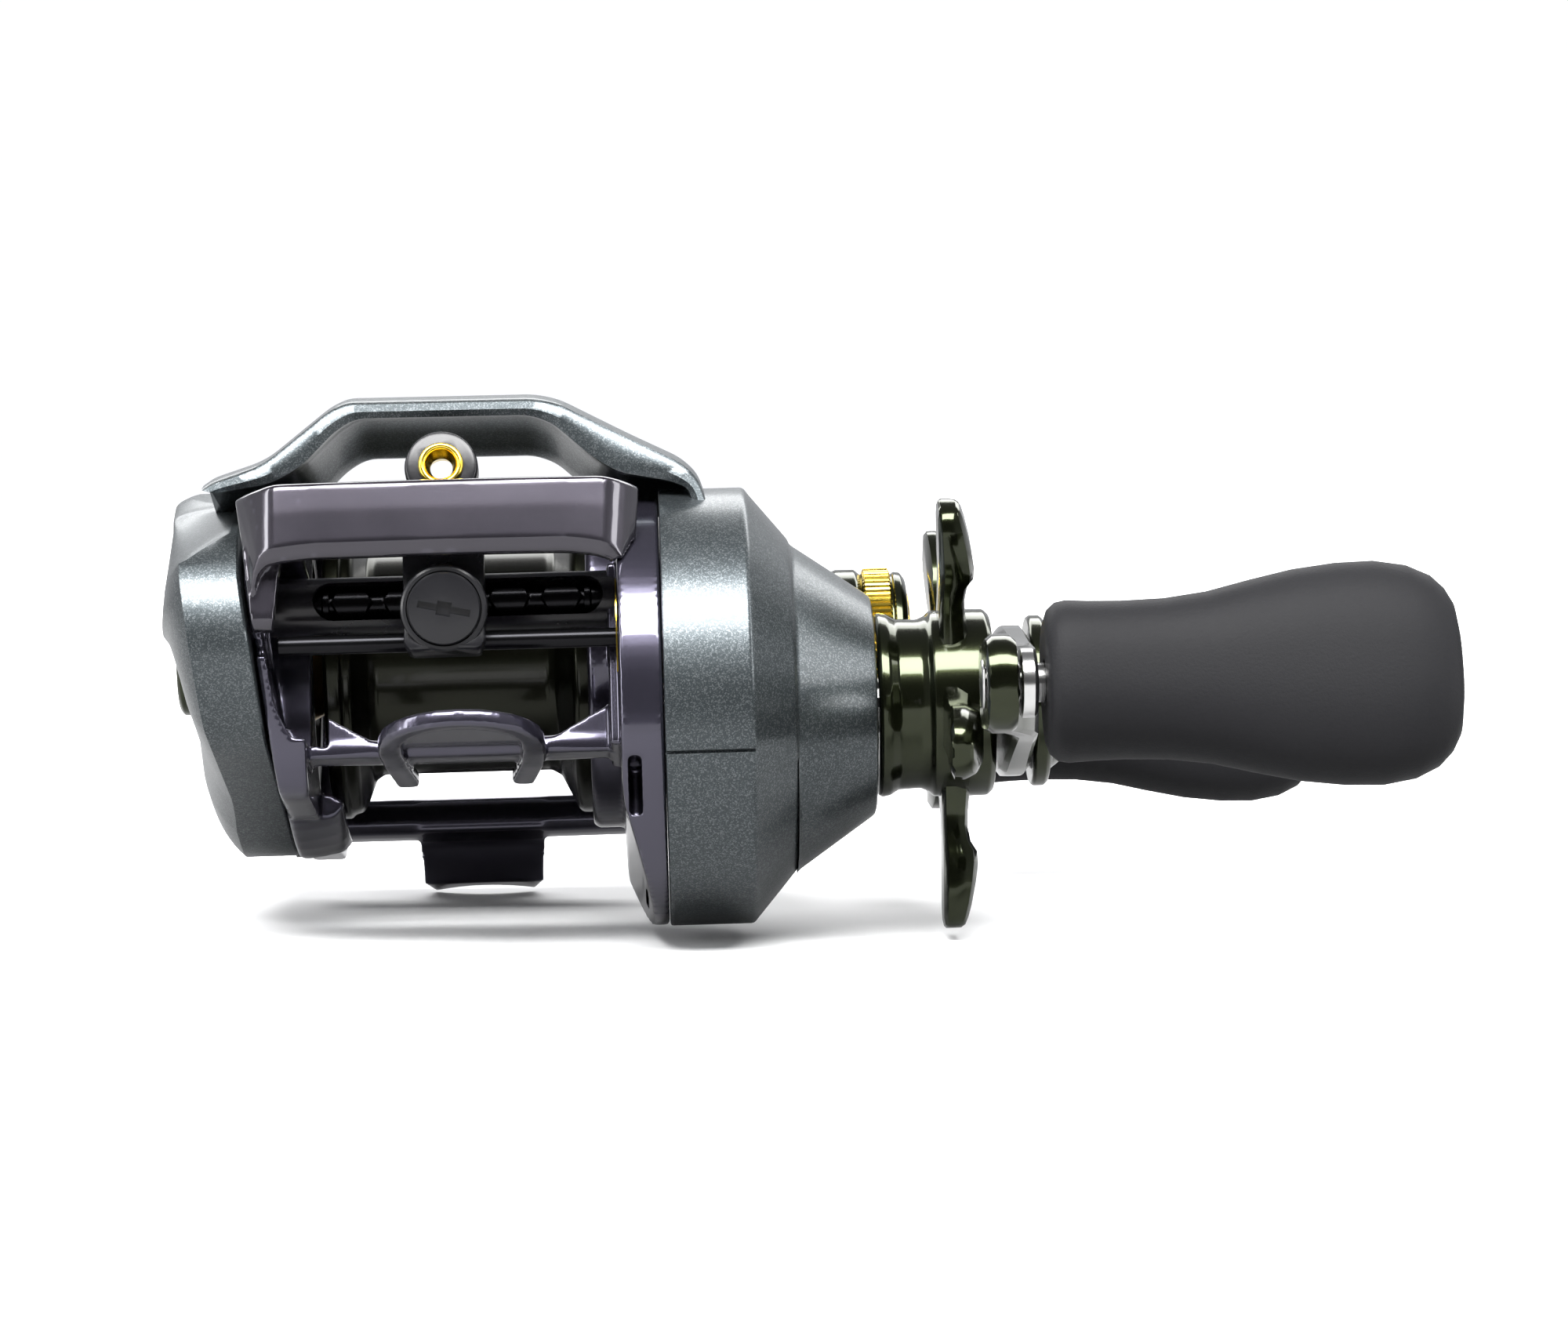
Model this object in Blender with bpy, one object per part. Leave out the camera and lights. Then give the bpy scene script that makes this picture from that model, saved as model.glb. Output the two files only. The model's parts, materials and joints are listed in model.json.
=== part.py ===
"""Low-profile baitcasting fishing reel, right-hand retrieve.

Origin on the spool axis at mid-spool. +X points right, towards the handle, -Y
forward to the line outlet, +Z up from the rod foot. Lengths are millimetres
and become metres when each mesh is placed. An axis parallel to X is given as
(y, z), and so is every point of an outline.
"""

import bpy
import bmesh
import math

MM = 0.001
SHARP_ANGLE = math.radians(32)

# Axes parallel to X, as (y, z)
SPOOL = (0.0, 0.0)
DRIVE = (-15.2, -10.3)
WORM = (-24.6, -1.1)
GUIDE_ROD = (-28.6, -6.2)

# Gears
GEAR_TEETH, PINION_TEETH = 68, 8
GEAR_TIP, GEAR_ROOT = 16.45, 15.35
PINION_TIP, PINION_FLANK, PINION_ROOT = 2.62, 2.15, 1.62
WIND_TEETH, WORM_TEETH = 36, 18
WIND_X = (18.7, 20.1)       # faces of both level-wind gears

# Spool
FLANGE_R, ARBOR_R, SPOOL_HALF = 16.2, 11.8, 11.0
CLUTCH_PIN_X = 15.3

# Clutch yoke: its mid-plane, and its two posts either side of the pinion
YOKE_X, YOKE_THICK, YOKE_HALF = 22.8, 1.1, 10.2
POST_OFFSET = 8

# Handle: axis-to-knob length, and tilt below horizontal at the front
HANDLE_HALF = 45.0
HANDLE_TILT = math.radians(-13)

# Frame, palm plate and foot
LEFT_IN = -15.0             # inner face of the left plate
RIGHT_IN, RIGHT_OUT = 16.0, 20.2
PALM_OUT, PALM_DEPTH = -29.9, 9.0
FOOT_Z = -17.5

# Line guide
GUIDE_X = -1.0
EYE_Z = 10.7


def seam(z):
    """X of the slanted joint between the frame and the palm plate."""
    return -19.47 - 0.138 * z


# ---------------------------------------------------------------- directions
# Unit (y, z) from the drive axis to the spool axis, and square to it
CENTRES = math.hypot(*DRIVE)
UP_LINE = (-DRIVE[0] / CENTRES, -DRIVE[1] / CENTRES)
CROSS_LINE = (-UP_LINE[1], UP_LINE[0])

# Unit (y, z) along the handle to the near knob, and across the handle
ARM_ALONG = (-math.cos(HANDLE_TILT), math.sin(HANDLE_TILT))
ARM_ACROSS = (math.sin(HANDLE_TILT), math.cos(HANDLE_TILT))


def yoke_point(across, up):
    """A (y, z) point about the spool axis in the yoke's own directions."""
    return tuple(across * CROSS_LINE[k] + up * UP_LINE[k] for k in (0, 1))


def arm_point(along, across):
    """A (y, z) point about the drive axis in the handle's own directions."""
    return tuple(DRIVE[k] + along * ARM_ALONG[k] + across * ARM_ACROSS[k] for k in (0, 1))


NEAR = arm_point(HANDLE_HALF, 0)
FAR = arm_point(-HANDLE_HALF, 0)
TO_DRIVE = math.atan2(DRIVE[1], DRIVE[0])
TO_WORM = math.atan2(WORM[1] - DRIVE[1], WORM[0] - DRIVE[0])

for thing in list(bpy.data.objects):
    bpy.data.objects.remove(thing, do_unlink=True)

# ---------------------------------------------------------------- finishes
FINISHES = {}


def finish(name, colour, roughness, metallic):
    material = bpy.data.materials.new(name)
    material.use_nodes = True
    shader = material.node_tree.nodes["Principled BSDF"]
    shader.inputs["Base Color"].default_value = (*colour, 1)
    shader.inputs["Roughness"].default_value = roughness
    shader.inputs["Metallic"].default_value = metallic
    material.diffuse_color = (*colour, 1)
    FINISHES[name] = material


finish("graphite_paint", colour=(0.075, 0.088, 0.095), roughness=0.35, metallic=0.6)
finish("frame_gloss", colour=(0.045, 0.04, 0.06), roughness=0.15, metallic=0.7)
finish("olive_anodised", colour=(0.03, 0.035, 0.018), roughness=0.22, metallic=0.9)
finish("black_plastic", colour=(0.012, 0.012, 0.013), roughness=0.3, metallic=0.0)
finish("gold", colour=(0.75, 0.5, 0.15), roughness=0.25, metallic=1.0)
finish("steel", colour=(0.6, 0.6, 0.6), roughness=0.2, metallic=1.0)
finish("brass", colour=(0.7, 0.5, 0.2), roughness=0.3, metallic=1.0)
finish("rubber", colour=(0.02, 0.02, 0.022), roughness=0.75, metallic=0.0)


# ---------------------------------------------------------------- outlines
def angles(count):
    return [2 * math.pi * i / count for i in range(count)]


def polar(axis, radius, angle):
    return (axis[0] + radius * math.cos(angle), axis[1] + radius * math.sin(angle))


def hull(discs, samples):
    """Outline round a set of discs (y, z, radius), sampled by direction."""
    points = []
    for a in angles(samples):
        disc = max(discs, key=lambda d: d[0] * math.cos(a) + d[1] * math.sin(a) + d[2])
        points.append(polar(disc, disc[2], a))
    outline = []
    for point in points:
        if not outline or math.dist(point, outline[-1]) > 0.05:
            outline.append(point)
    if math.dist(outline[0], outline[-1]) < 0.05:
        outline.pop()
    return outline


def even(outline, count):
    """The outline walked in even steps, from its rearmost point."""
    start = max(range(len(outline)), key=lambda i: outline[i][0])
    path = outline[start:] + outline[:start]
    path.append(path[0])
    lengths = [0.0]
    for here, there in zip(path, path[1:]):
        lengths.append(lengths[-1] + math.dist(here, there))
    result, k = [], 0
    for i in range(count):
        target = lengths[-1] * i / count
        while lengths[k + 1] < target:
            k += 1
        part = (target - lengths[k]) / (lengths[k + 1] - lengths[k])
        (y0, z0), (y1, z1) = path[k], path[k + 1]
        result.append((y0 + part * (y1 - y0), z0 + part * (z1 - z0)))
    return result


def shrink(outline, inset):
    """Move an outline inwards along its normals; a negative inset grows it."""
    result = []
    for i, (y, z) in enumerate(outline):
        (y0, z0), (y1, z1) = outline[i - 1], outline[(i + 1) % len(outline)]
        dy, dz = y1 - y0, z1 - z0
        length = math.hypot(dy, dz)
        result.append((y - inset * dz / length, z + inset * dy / length))
    return result


def gear_side(drive_r, spool_r, samples, count):
    """Right-hand plate outline: a disc on the drive axis and one by the spool."""
    return even(hull([(*DRIVE, drive_r), (6, 1, spool_r)], samples), count)


def flat(outline, x):
    """An outline at X; x may be a function of z for a slanted face."""
    return [(x(z) if callable(x) else x, y, z) for y, z in outline]


# ---------------------------------------------------------------- solids
def loft(name, rings, around=False):
    """Skin rings of equal count; around joins the last ring to the first."""
    n, count = len(rings[0]), len(rings)
    faces = []
    for j in range(count if around else count - 1):
        a, b = j * n, ((j + 1) % count) * n
        faces += [(a + i, a + (i + 1) % n, b + (i + 1) % n, b + i) for i in range(n)]
    if not around:
        faces.append(tuple(range(n))[::-1])
        faces.append(tuple((count - 1) * n + i for i in range(n)))
    mesh = bpy.data.meshes.new(name)
    bm = bmesh.new()
    verts = [bm.verts.new(point) for ring in rings for point in ring]
    for face in faces:
        bm.faces.new([verts[i] for i in face])
    bmesh.ops.recalc_face_normals(bm, faces=bm.faces)
    bm.to_mesh(mesh)
    bm.free()
    ob = bpy.data.objects.new(name, mesh)
    bpy.context.collection.objects.link(ob)
    return ob


def turned(name, profile, axis=SPOOL, sides=24, hollow=False):
    """Turn a profile of (x, radius) about an axis along X."""
    rings = [[(x, *polar(axis, r, a)) for a in angles(sides)] for x, r in profile]
    return loft(name, rings, around=hollow)


def rod(name, x0, x1, radius, axis=SPOOL, sides=24):
    return turned(name, [(x0, radius), (x1, radius)], axis, sides)


def washer(name, x0, x1, r0, r1, axis=SPOOL, sides=16):
    return turned(name, [(x0, r0), (x0, r1), (x1, r1), (x1, r0)], axis, sides, True)


def prism(name, outline, x0, x1):
    return loft(name, [flat(outline, x0), flat(outline, x1)])


def block(name, low, high):
    (x0, y0, z0), (x1, y1, z1) = low, high
    return prism(name, [(y0, z0), (y1, z0), (y1, z1), (y0, z1)], x0, x1)


def unit(v):
    length = math.sqrt(sum(c * c for c in v))
    return [c / length for c in v]


def cross(p, q):
    return [p[1] * q[2] - p[2] * q[1], p[2] * q[0] - p[0] * q[2], p[0] * q[1] - p[1] * q[0]]


def bar(name, start, end, radius, sides):
    """A round bar between two points."""
    along = unit([end[k] - start[k] for k in range(3)])
    side = unit(cross(along, (0, 0, 1) if abs(along[2]) < 0.9 else (1, 0, 0)))
    other = cross(along, side)
    return loft(name, [
        [tuple(centre[k] + radius * (math.cos(a) * side[k] + math.sin(a) * other[k])
               for k in range(3)) for a in angles(sides)]
        for centre in (start, end)])


def carve(body, add=(), cut=()):
    """Join and cut with exact Booleans, then drop the helper shapes."""
    steps = [(shape, "UNION") for shape in add] + [(shape, "DIFFERENCE") for shape in cut]
    for shape, how in steps:
        modifier = body.modifiers.new(how, "BOOLEAN")
        modifier.operation = how
        modifier.object = shape
        modifier.solver = "EXACT"
    depsgraph = bpy.context.evaluated_depsgraph_get()
    mesh = bpy.data.meshes.new_from_object(body.evaluated_get(depsgraph))
    name = body.name
    result = bpy.data.objects.new(name + "_carved", mesh)
    bpy.context.collection.objects.link(result)
    for shape in [shape for shape, how in steps] + [body]:
        bpy.data.objects.remove(shape, do_unlink=True)
    result.name = name
    return result


def bored_prism(name, outline, x0, x1, bore, axis, sides):
    """A prism with a round hole right through it."""
    return carve(prism(name, outline, x0, x1),
                 cut=[rod("bore", x0 - 1, x1 + 1, bore, axis, sides)])


def gear(name, teeth, root, tip, x0, x1, axis, bore, turn, bore_sides=20):
    """Spur gear with pointed, straight-flanked teeth."""
    pitch = 2 * math.pi / teeth
    outline = []
    for i in range(teeth):
        a = turn + i * pitch
        outline += [polar(axis, root, a - pitch / 2), polar(axis, tip, a)]
    return bored_prism(name, outline, x0, x1, bore, axis, bore_sides)


def hex_nut(name, corner_r, x0, x1, bore, bore_sides):
    """A nut on the drive axis."""
    outline = [polar(DRIVE, corner_r, a) for a in angles(6)]
    return bored_prism(name, outline, x0, x1, bore, DRIVE, bore_sides)


# ---------------------------------------------------------------- pivots
PIVOTS = {}


def pivot(name, at=(0, 0, 0), parent=None):
    """An empty at a point of the reel, recorded with that point."""
    empty = bpy.data.objects.new(name, None)
    bpy.context.collection.objects.link(empty)
    empty.empty_display_size = 0.005
    base = (0, 0, 0)
    if parent:
        empty.parent, base = PIVOTS[parent]
    empty.location = [(at[k] - base[k]) * MM for k in range(3)]
    PIVOTS[name] = (empty, at)


def place(ob, material, on="reel_frame"):
    """Set the origin on the pivot, scale to metres, give the finish."""
    empty, at = PIVOTS[on]
    for v in ob.data.vertices:
        v.co = [(v.co[k] - at[k]) * MM for k in range(3)]
    ob.parent = empty
    ob.data.materials.clear()
    ob.data.materials.append(FINISHES[material])
    ob.data.shade_smooth()
    ob.data.set_sharp_from_angle(angle=SHARP_ANGLE)


pivot("reel_frame")
pivot("palm_pivot", (-25, *SPOOL))
pivot("dial_pivot", (-29, *SPOOL), "palm_pivot")
pivot("spool_pivot", (0, *SPOOL))
pivot("thumb_pivot", (0, 20, 5))
pivot("yoke_pivot", (YOKE_X, *SPOOL))
pivot("pinion_pivot", (YOKE_X, *SPOOL), "yoke_pivot")
pivot("drive_pivot", (40, *DRIVE))
pivot("gear_pivot", (27, *DRIVE))
pivot("star_pivot", (47, *DRIVE), "drive_pivot")
pivot("cap_pivot", (42, *SPOOL))
pivot("worm_pivot", (0, *WORM))
pivot("guide_pivot", (GUIDE_X, *WORM))
pivot("lock_pivot", (-18.3, 8, -19))
pivot("knob_near_pivot", (60, *NEAR), "drive_pivot")
pivot("knob_far_pivot", (60, *FAR), "drive_pivot")

# ---------------------------------------------------------------- frame
LEFT_PLATE = even(hull([(0, 0, 18.4), (-25.2, -1.4, 6.0), (-22, -16.4, 3.6),
                        (26, -11, 4.0), (20, 3, 5)], 40), 36)
RIGHT_PLATE = gear_side(21.6, 14.4, 40, 36)
LEG_X, LEG_HALF = 6.2, 1.1
# slopes from the rear bar down to the foot plane
REAR_TAB = [(23.0, -12.6), (23.0, -9.4), (27.5, -9.4), (32.4, FOOT_Z + 1.2),
            (32.4, FOOT_Z), (28.4, FOOT_Z), (26.0, -13.2)]

adds = [
    prism("right_plate", RIGHT_PLATE, RIGHT_IN, RIGHT_OUT),
    block("front_bar", (-16.0, -24.6, -18.6), (17.0, -19.6, -14.9)),
    block("rear_bar", (-16.0, 22.4, -13.2), (17.0, 27.4, -8.8)),
]
# triangular web from each side plate to the front bar
for plate_x, bar_x in ((-16.0, -7.0), (17.0, 8.0)):
    adds.append(loft("web", [[(plate_x, y, -9.5), (bar_x, y, -16), (plate_x, y, -16)]
                             for y in (-22.5, -20.5)]))
# front tab of the foot: two legs and a rim
for side in (-1, 1):
    adds.append(block("leg", (side * LEG_X - LEG_HALF, -30.5, FOOT_Z),
                      (side * LEG_X + LEG_HALF, -10.0, FOOT_Z + 1.9)))
rim_half = LEG_X + LEG_HALF
adds.append(block("front_rim", (-rim_half, -33.4, FOOT_Z), (rim_half, -29.9, FOOT_Z + 2.1)))
adds.append(prism("rear_tab", REAR_TAB, -6.9, 6.9))
frame = carve(prism("frame", LEFT_PLATE, seam, LEFT_IN), adds, [
    rod("ring", -30, -14, 17.1, SPOOL, 32),
    rod("flange_room", 15, 19, 3.0),
    rod("flange_recess", 14, 16.6, 16.9, SPOOL, 32),
    rod("drive_seat", 15, 22, 4.3, DRIVE),
    rod("worm_seat_right", 15, 22, 2.9, WORM),
    rod("worm_seat_left", -24, -14, 2.9, WORM),
    rod("rod_seat_right", 15, 18.5, 1.15, GUIDE_ROD, 12),
    rod("rod_seat_left", -24, -14, 1.15, GUIDE_ROD, 12),
    # gear room on the handle side of the right plate
    prism("gear_room", gear_side(19.8, 13.4, 32, 32), 18.0, 22.0),
    block("hood_room", (-24.0, -40.0, 14.6), (-14.0, -10.0, 24.0)),
    block("thumb_slot_right", (15.0, 16.8, -0.2), (22.0, 18.4, 7.2)),
    block("thumb_slot_left", (-24.0, 19.2, -4.0), (-14.0, 20.8, 7.4)),
    block("lock_slot", (-24.0, 5.6, -24.0), (-16.4, 10.6, -17.8)),
    block("card_slot", (17.2, -38.5, -15.5), (18.8, -34.0, -9.0)),
])
# the pinion bearing's seat stands in the gear room
frame = carve(frame, add=[washer("pinion_seat", 17.4, 20.1, 5.25, 6.5)])
place(frame, "frame_gloss")

# ---------------------------------------------------------------- yoke posts
SPRING_TURNS, SPRING_STEPS = 4, 7       # steps to one turn
SPRING_X, SPRING_LENGTH = 23.9, 6.6
COIL_R, WIRE_R = 1.5, 0.24


def spring(name, axis):
    """A four-sided wire swept in a coil about an axis along X."""
    rings = []
    steps = SPRING_TURNS * SPRING_STEPS
    for k in range(steps + 1):
        a = 2 * math.pi * k / SPRING_STEPS
        x = SPRING_X + SPRING_LENGTH * k / steps
        rings.append([(x + WIRE_R * math.sin(b), *polar(axis, COIL_R + WIRE_R * math.cos(b), a))
                      for b in angles(4)])
    return loft(name, rings)


for number, side in ((1, 1), (2, -1)):
    post_axis = yoke_point(POST_OFFSET * side, 0)
    place(rod(f"yoke_post_{number}", 18.1, 31.1, 0.85, post_axis, 12), "steel")
    place(spring(f"yoke_spring_{number}", post_axis), "steel")

# ---------------------------------------------------------------- palm side
PALM = even(hull([(2, -1.3, 18.3), (-20, -3.6, 12.2), (15, -1.0, 12.5)], 44), 40)
SEAM_GAP = 0.3
# (depth out from the seam, inset of the outline)
PALM_STEPS = [(0.3, 0.0), (4.2, 0.3), (6.4, 1.6), (8.0, 4.0), (PALM_DEPTH, 7.5)]

# the sections ease from the slanted seam to an upright outer face
rings = []
for depth, inset in PALM_STEPS:
    part = depth / PALM_DEPTH
    gap = SEAM_GAP if depth == PALM_STEPS[0][0] else 0
    rings.append([(seam(z) * (1 - part) + PALM_OUT * part - gap, y, z)
                  for y, z in shrink(PALM, inset)])
place(carve(loft("palm_side_plate", rings), cut=[
    rod("brake_room", -27.6, -10, 14.6, SPOOL, 28),
    rod("dial_hole", -32, -27, 5.4, SPOOL, 28),
    block("lock_room", (-23.2, 5.4, -24.0), (-14.0, 10.8, -17.2)),
]), "graphite_paint", "palm_pivot")

housing = [(-27.2, 3.0), (-27.2, 14.2), (-16.4, 14.2), (-16.4, 11.6), (-25.2, 11.6),
           (-25.2, 3.0)]
place(turned("brake_housing", housing, SPOOL, 28, True), "black_plastic", "palm_pivot")
place(washer("spool_bearing_left", -23.4, -21.2, 1.75, 3.6), "steel", "palm_pivot")
place(washer("bearing_cup_left", -24.9, -20.9, 3.8, 4.9), "black_plastic", "palm_pivot")
dial = [(-24.9, 1.8), (-24.9, 2.7), (-27.5, 2.7), (-28.3, 5.0), (-30.2, 4.6), (-30.2, 2.0),
        (-28.4, 1.8)]
place(turned("brake_dial", dial, SPOOL, 20, True), "olive_anodised", "dial_pivot")

# ---------------------------------------------------------------- spool
spool = [
    # outside, left flange to right flange
    (-SPOOL_HALF - 3.2, FLANGE_R), (-SPOOL_HALF - 0.4, FLANGE_R - 0.3),
    (-SPOOL_HALF + 1.6, ARBOR_R), (SPOOL_HALF - 2.2, ARBOR_R),
    (SPOOL_HALF, FLANGE_R - 0.3), (SPOOL_HALF + 2.4, FLANGE_R),
    # inside, back over the hub
    (SPOOL_HALF + 2.4, 14.8), (SPOOL_HALF + 1.0, 14.6), (SPOOL_HALF - 2.0, 10.2), (3.0, 10.2),
    (3.0, 1.9), (-3.0, 1.9), (-3.0, 10.2), (-SPOOL_HALF + 2.0, 10.2),
    (-SPOOL_HALF - 1.0, 14.6), (-SPOOL_HALF - 2.4, 14.8),
]
place(turned("spool", spool, SPOOL, 28, True), "olive_anodised", "spool_pivot")

shaft = [(-24.0, 0.9), (-23.7, 1.4), (-12, 1.4), (-12, 1.6), (14, 1.6), (14, 1.3),
         (16.4, 1.3), (16.4, 0.95), (37.4, 0.95), (37.8, 0.6)]


def upright_pin(name, half_length, radius, sides):
    """An upright bar through the spool shaft at the clutch pin."""
    return bar(name, (CLUTCH_PIN_X, 0, -half_length), (CLUTCH_PIN_X, 0, half_length),
               radius, sides)


place(carve(turned("spool_shaft", shaft, SPOOL, 16), cut=[upright_pin("pin_hole", 3, 0.45, 12)]),
      "steel", "spool_pivot")
place(upright_pin("clutch_pin", 2.1, 0.4, 10), "steel", "spool_pivot")
rotor = [(-20.4, 1.75), (-20.4, 6.2), (-19.4, 6.6), (-19.4, 10.9), (-17.6, 10.9), (-17.6, 6.6),
         (-14.6, 5.0), (-14.6, 1.75)]
place(turned("brake_rotor", rotor, SPOOL, 20, True), "brass", "spool_pivot")

# ---------------------------------------------------------------- clutch
thumb = [(17.6, 5.4), (18.4, 8.8), (20.4, 10.2), (23.4, 9.6), (24.6, 7.0), (23.6, 4.4),
         (20.0, 3.4)]
place(carve(prism("thumb_bar", thumb, -14.6, 15.4), add=[
    block("tail_right", (14.5, 17.2, 4.9), (21.9, 18.0, 6.6)),
    block("tail_left", (-17.2, 19.6, 4.2), (-13.0, 20.4, 6.9)),
]), "graphite_paint", "thumb_pivot")

cam = [(3.1, -1.0), (3.1, 6.6), (9.0, 7.6), (16.9, 6.4), (16.9, 4.2), (10.0, 1.2),
       (7.2, -10.2), (2.4, -10.2), (2.4, -3.4)]
place(carve(prism("clutch_cam", cam, 20.5, 21.5),
            cut=[block("post_slot", (19, 3.3, -8.8), (23, 5.7, -0.9))]), "steel", "thumb_pivot")

# yoke corners: (share of the half length across, distance up the line of centres)
YOKE_CORNERS = [(-1, -2), (-0.45, -4.4), (0.45, -4.4), (1, -2),
                (1, 2), (0.45, 4.4), (-0.45, 4.4), (-1, 2)]
yoke = [yoke_point(YOKE_HALF * share, up) for share, up in YOKE_CORNERS]
mouth = [yoke_point(across, up) for across, up in ((-2.0, 0), (2.0, 0), (2.0, 9), (-2.0, 9))]
place(carve(prism("clutch_yoke", yoke, YOKE_X - YOKE_THICK / 2, YOKE_X + YOKE_THICK / 2), cut=[
    rod("neck_hole", 20, 25, 2.0),
    prism("mouth", mouth, 20, 25),
    *[rod("post_hole", 20, 25, 1.15, yoke_point(POST_OFFSET * side, 0), 14) for side in (1, -1)],
]), "black_plastic", "yoke_pivot")

# one tooth, as (radius, offset from its centre in half pitches)
PINION_TOOTH = [(PINION_ROOT, -0.60), (PINION_FLANK, -0.40), (PINION_TIP, -0.16),
                (PINION_TIP, 0.16), (PINION_FLANK, 0.40), (PINION_ROOT, 0.60)]
# turned so that one tooth space faces the drive gear
pitch = 2 * math.pi / PINION_TEETH
outline = [polar(SPOOL, r, TO_DRIVE + (i + 0.5) * pitch + offset * pitch / 2)
           for i in range(PINION_TEETH) for r, offset in PINION_TOOTH]
place(carve(prism("pinion", outline, 23.7, 30.4),
            add=[turned("journal", [(14.2, 2.5), (22.0, 2.5), (22.0, 1.72), (24.2, 1.72)])],
            cut=[rod("bore", 12, 33, 1.2, SPOOL, 20),
                 rod("wide_bore", 12, 16.8, 1.55, SPOOL, 20),
                 block("pin_slot", (13, -0.75, -4), (16.0, 0.75, 4))]), "brass", "pinion_pivot")
place(washer("pinion_bearing", 18.15, 19.9, 2.75, 5.0), "steel")

# ---------------------------------------------------------------- drive train
place(gear("main_gear", GEAR_TEETH, GEAR_ROOT, GEAR_TIP, 26.3, 28.7, DRIVE, 3.35,
           TO_DRIVE + math.pi), "brass", "gear_pivot")
place(gear("level_wind_gear", WIND_TEETH, 8.2, 9.1, *WIND_X, DRIVE, 3.05, TO_WORM),
      "black_plastic", "drive_pivot")
# half a tooth round, to mesh with the level-wind gear
place(gear("worm_gear", WORM_TEETH, 3.75, 4.65, *WIND_X, WORM, 1.55,
           TO_WORM + math.pi + math.pi / WORM_TEETH, 16), "black_plastic", "worm_pivot")
shaft = [(16.3, 2.3), (18.2, 2.3), (18.2, 2.8), (24.9, 2.8), (24.9, 7.0), (25.9, 7.0),
         (25.9, 2.8), (53.6, 2.8), (53.6, 2.3), (59.4, 2.3)]
place(turned("drive_shaft", shaft, DRIVE, 18), "steel", "drive_pivot")
place(washer("drive_bush", 16.3, 18.1, 2.55, 4.1, DRIVE), "brass")
place(washer("drag_washer", 29.0, 29.6, 3.3, 11.5, DRIVE, 20), "black_plastic", "drive_pivot")
place(washer("pressure_plate", 29.9, 30.7, 3.1, 11.0, DRIVE, 20), "steel", "drive_pivot")
place(turned("drag_spring_washer", [(31.2, 3.2), (31.9, 6.6), (32.1, 6.6), (31.5, 3.2)],
             DRIVE, 28, True), "steel", "drive_pivot")
place(washer("clutch_inner_tube", 32.4, 41.0, 3.15, 4.4, DRIVE, 20), "steel", "drive_pivot")
place(washer("roller_clutch", 33.0, 39.0, 4.75, 8.2, DRIVE, 20), "steel")

# ---------------------------------------------------------------- gear side plate
plate = gear_side(22.4, 15.0, 48, 40)
# (x, inset of the outline)
plate_rings = [flat(plate, 20.5), flat(plate, 28.4)]
plate_rings += [flat(shrink(plate, inset), x) for x, inset in ((31.4, 1.6), (33.0, 4.6))]
place(carve(
    loft("gear_side_plate", plate_rings),
    add=[turned("cone", [(31.0, 17.0), (33.0, 16.5), (41.4, 10.6)], DRIVE, 28),
         turned("boss", [(31.0, 9.6), (37.2, 9.2)]),
         rod("neck", 36.8, 40.9, 6.8)],
    cut=[prism("room", gear_side(20.6, 13.6, 32, 32), 19.0, 31.4),
         washer("cap_room", 37.6, 44.0, 7.0, 9.0),
         rod("clutch_room", 30.0, 39.4, 8.5, DRIVE),
         rod("tube_hole", 38, 43, 5.0, DRIVE),
         rod("pinion_room", 30.0, 33.4, 3.4),
         rod("bearing_room", 33.0, 43, 3.9)]), "graphite_paint")
place(washer("spool_bearing_right", 34.0, 36.2, 1.25, 3.65), "steel")
place(bar("gear_plate_screw", (33.3, 12.0, 2.0), (35.0, 12.0, 2.0), 1.7, 18), "steel")

# ---------------------------------------------------------------- cast control
cap = [(38.0, 7.3), (38.0, 8.0), (41.2, 8.3), (41.2, 7.7), (44.5, 7.7), (44.5, 7.9),
       (45.6, 7.4), (46.2, 5.0), (46.2, 1.2), (41.2, 1.2), (41.2, 7.3)]
place(turned("cast_control_cap", cap, SPOOL, 24, True), "olive_anodised", "cap_pivot")

# knurled ring: every other section stands proud on its outside
RING_IN, RING_OUT, KNURL = 7.85, 8.2, 0.25
rings = []
for i, a in enumerate(angles(32)):
    outer = RING_OUT + (KNURL if i % 2 else 0)
    rings.append([(x, *polar(SPOOL, r, a))
                  for x, r in ((41.4, RING_IN), (41.4, outer), (44.3, outer), (44.3, RING_IN))])
place(loft("cast_control_ring", rings, True), "gold", "cap_pivot")
place(washer("cast_friction_pad", 38.1, 38.9, 0.4, 2.2), "black_plastic")

# ---------------------------------------------------------------- star drag
STAR_ARMS = 5
STAR_HUB = [(41.7, 9.2), (44.0, 8.6), (46.2, 8.6), (47.6, 9.4), (53.3, 9.4), (53.3, 3.1),
            (48.0, 3.1), (48.0, 5.7), (41.7, 5.7)]
# (distance from the axis, half width, inner x, outer x)
STAR_ARM = [(7.2, 3.4, 48.6, 51.6), (11.0, 2.5, 48.6, 51.2), (15.5, 2.6, 48.7, 51.9),
            (18.5, 3.5, 48.4, 52.1), (21.4, 2.8, 48.2, 51.2), (22.7, 1.3, 48.3, 50.4)]


def star_arm(angle):
    c, s = math.cos(angle), math.sin(angle)
    return loft("arm", [
        [(x, DRIVE[0] + r * c - across * s, DRIVE[1] + r * s + across * c)
         for x, across in ((x0, -half), (x1, -half * 0.7), (x1, half * 0.7), (x0, half))]
        for r, half, x0, x1 in STAR_ARM])


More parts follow.
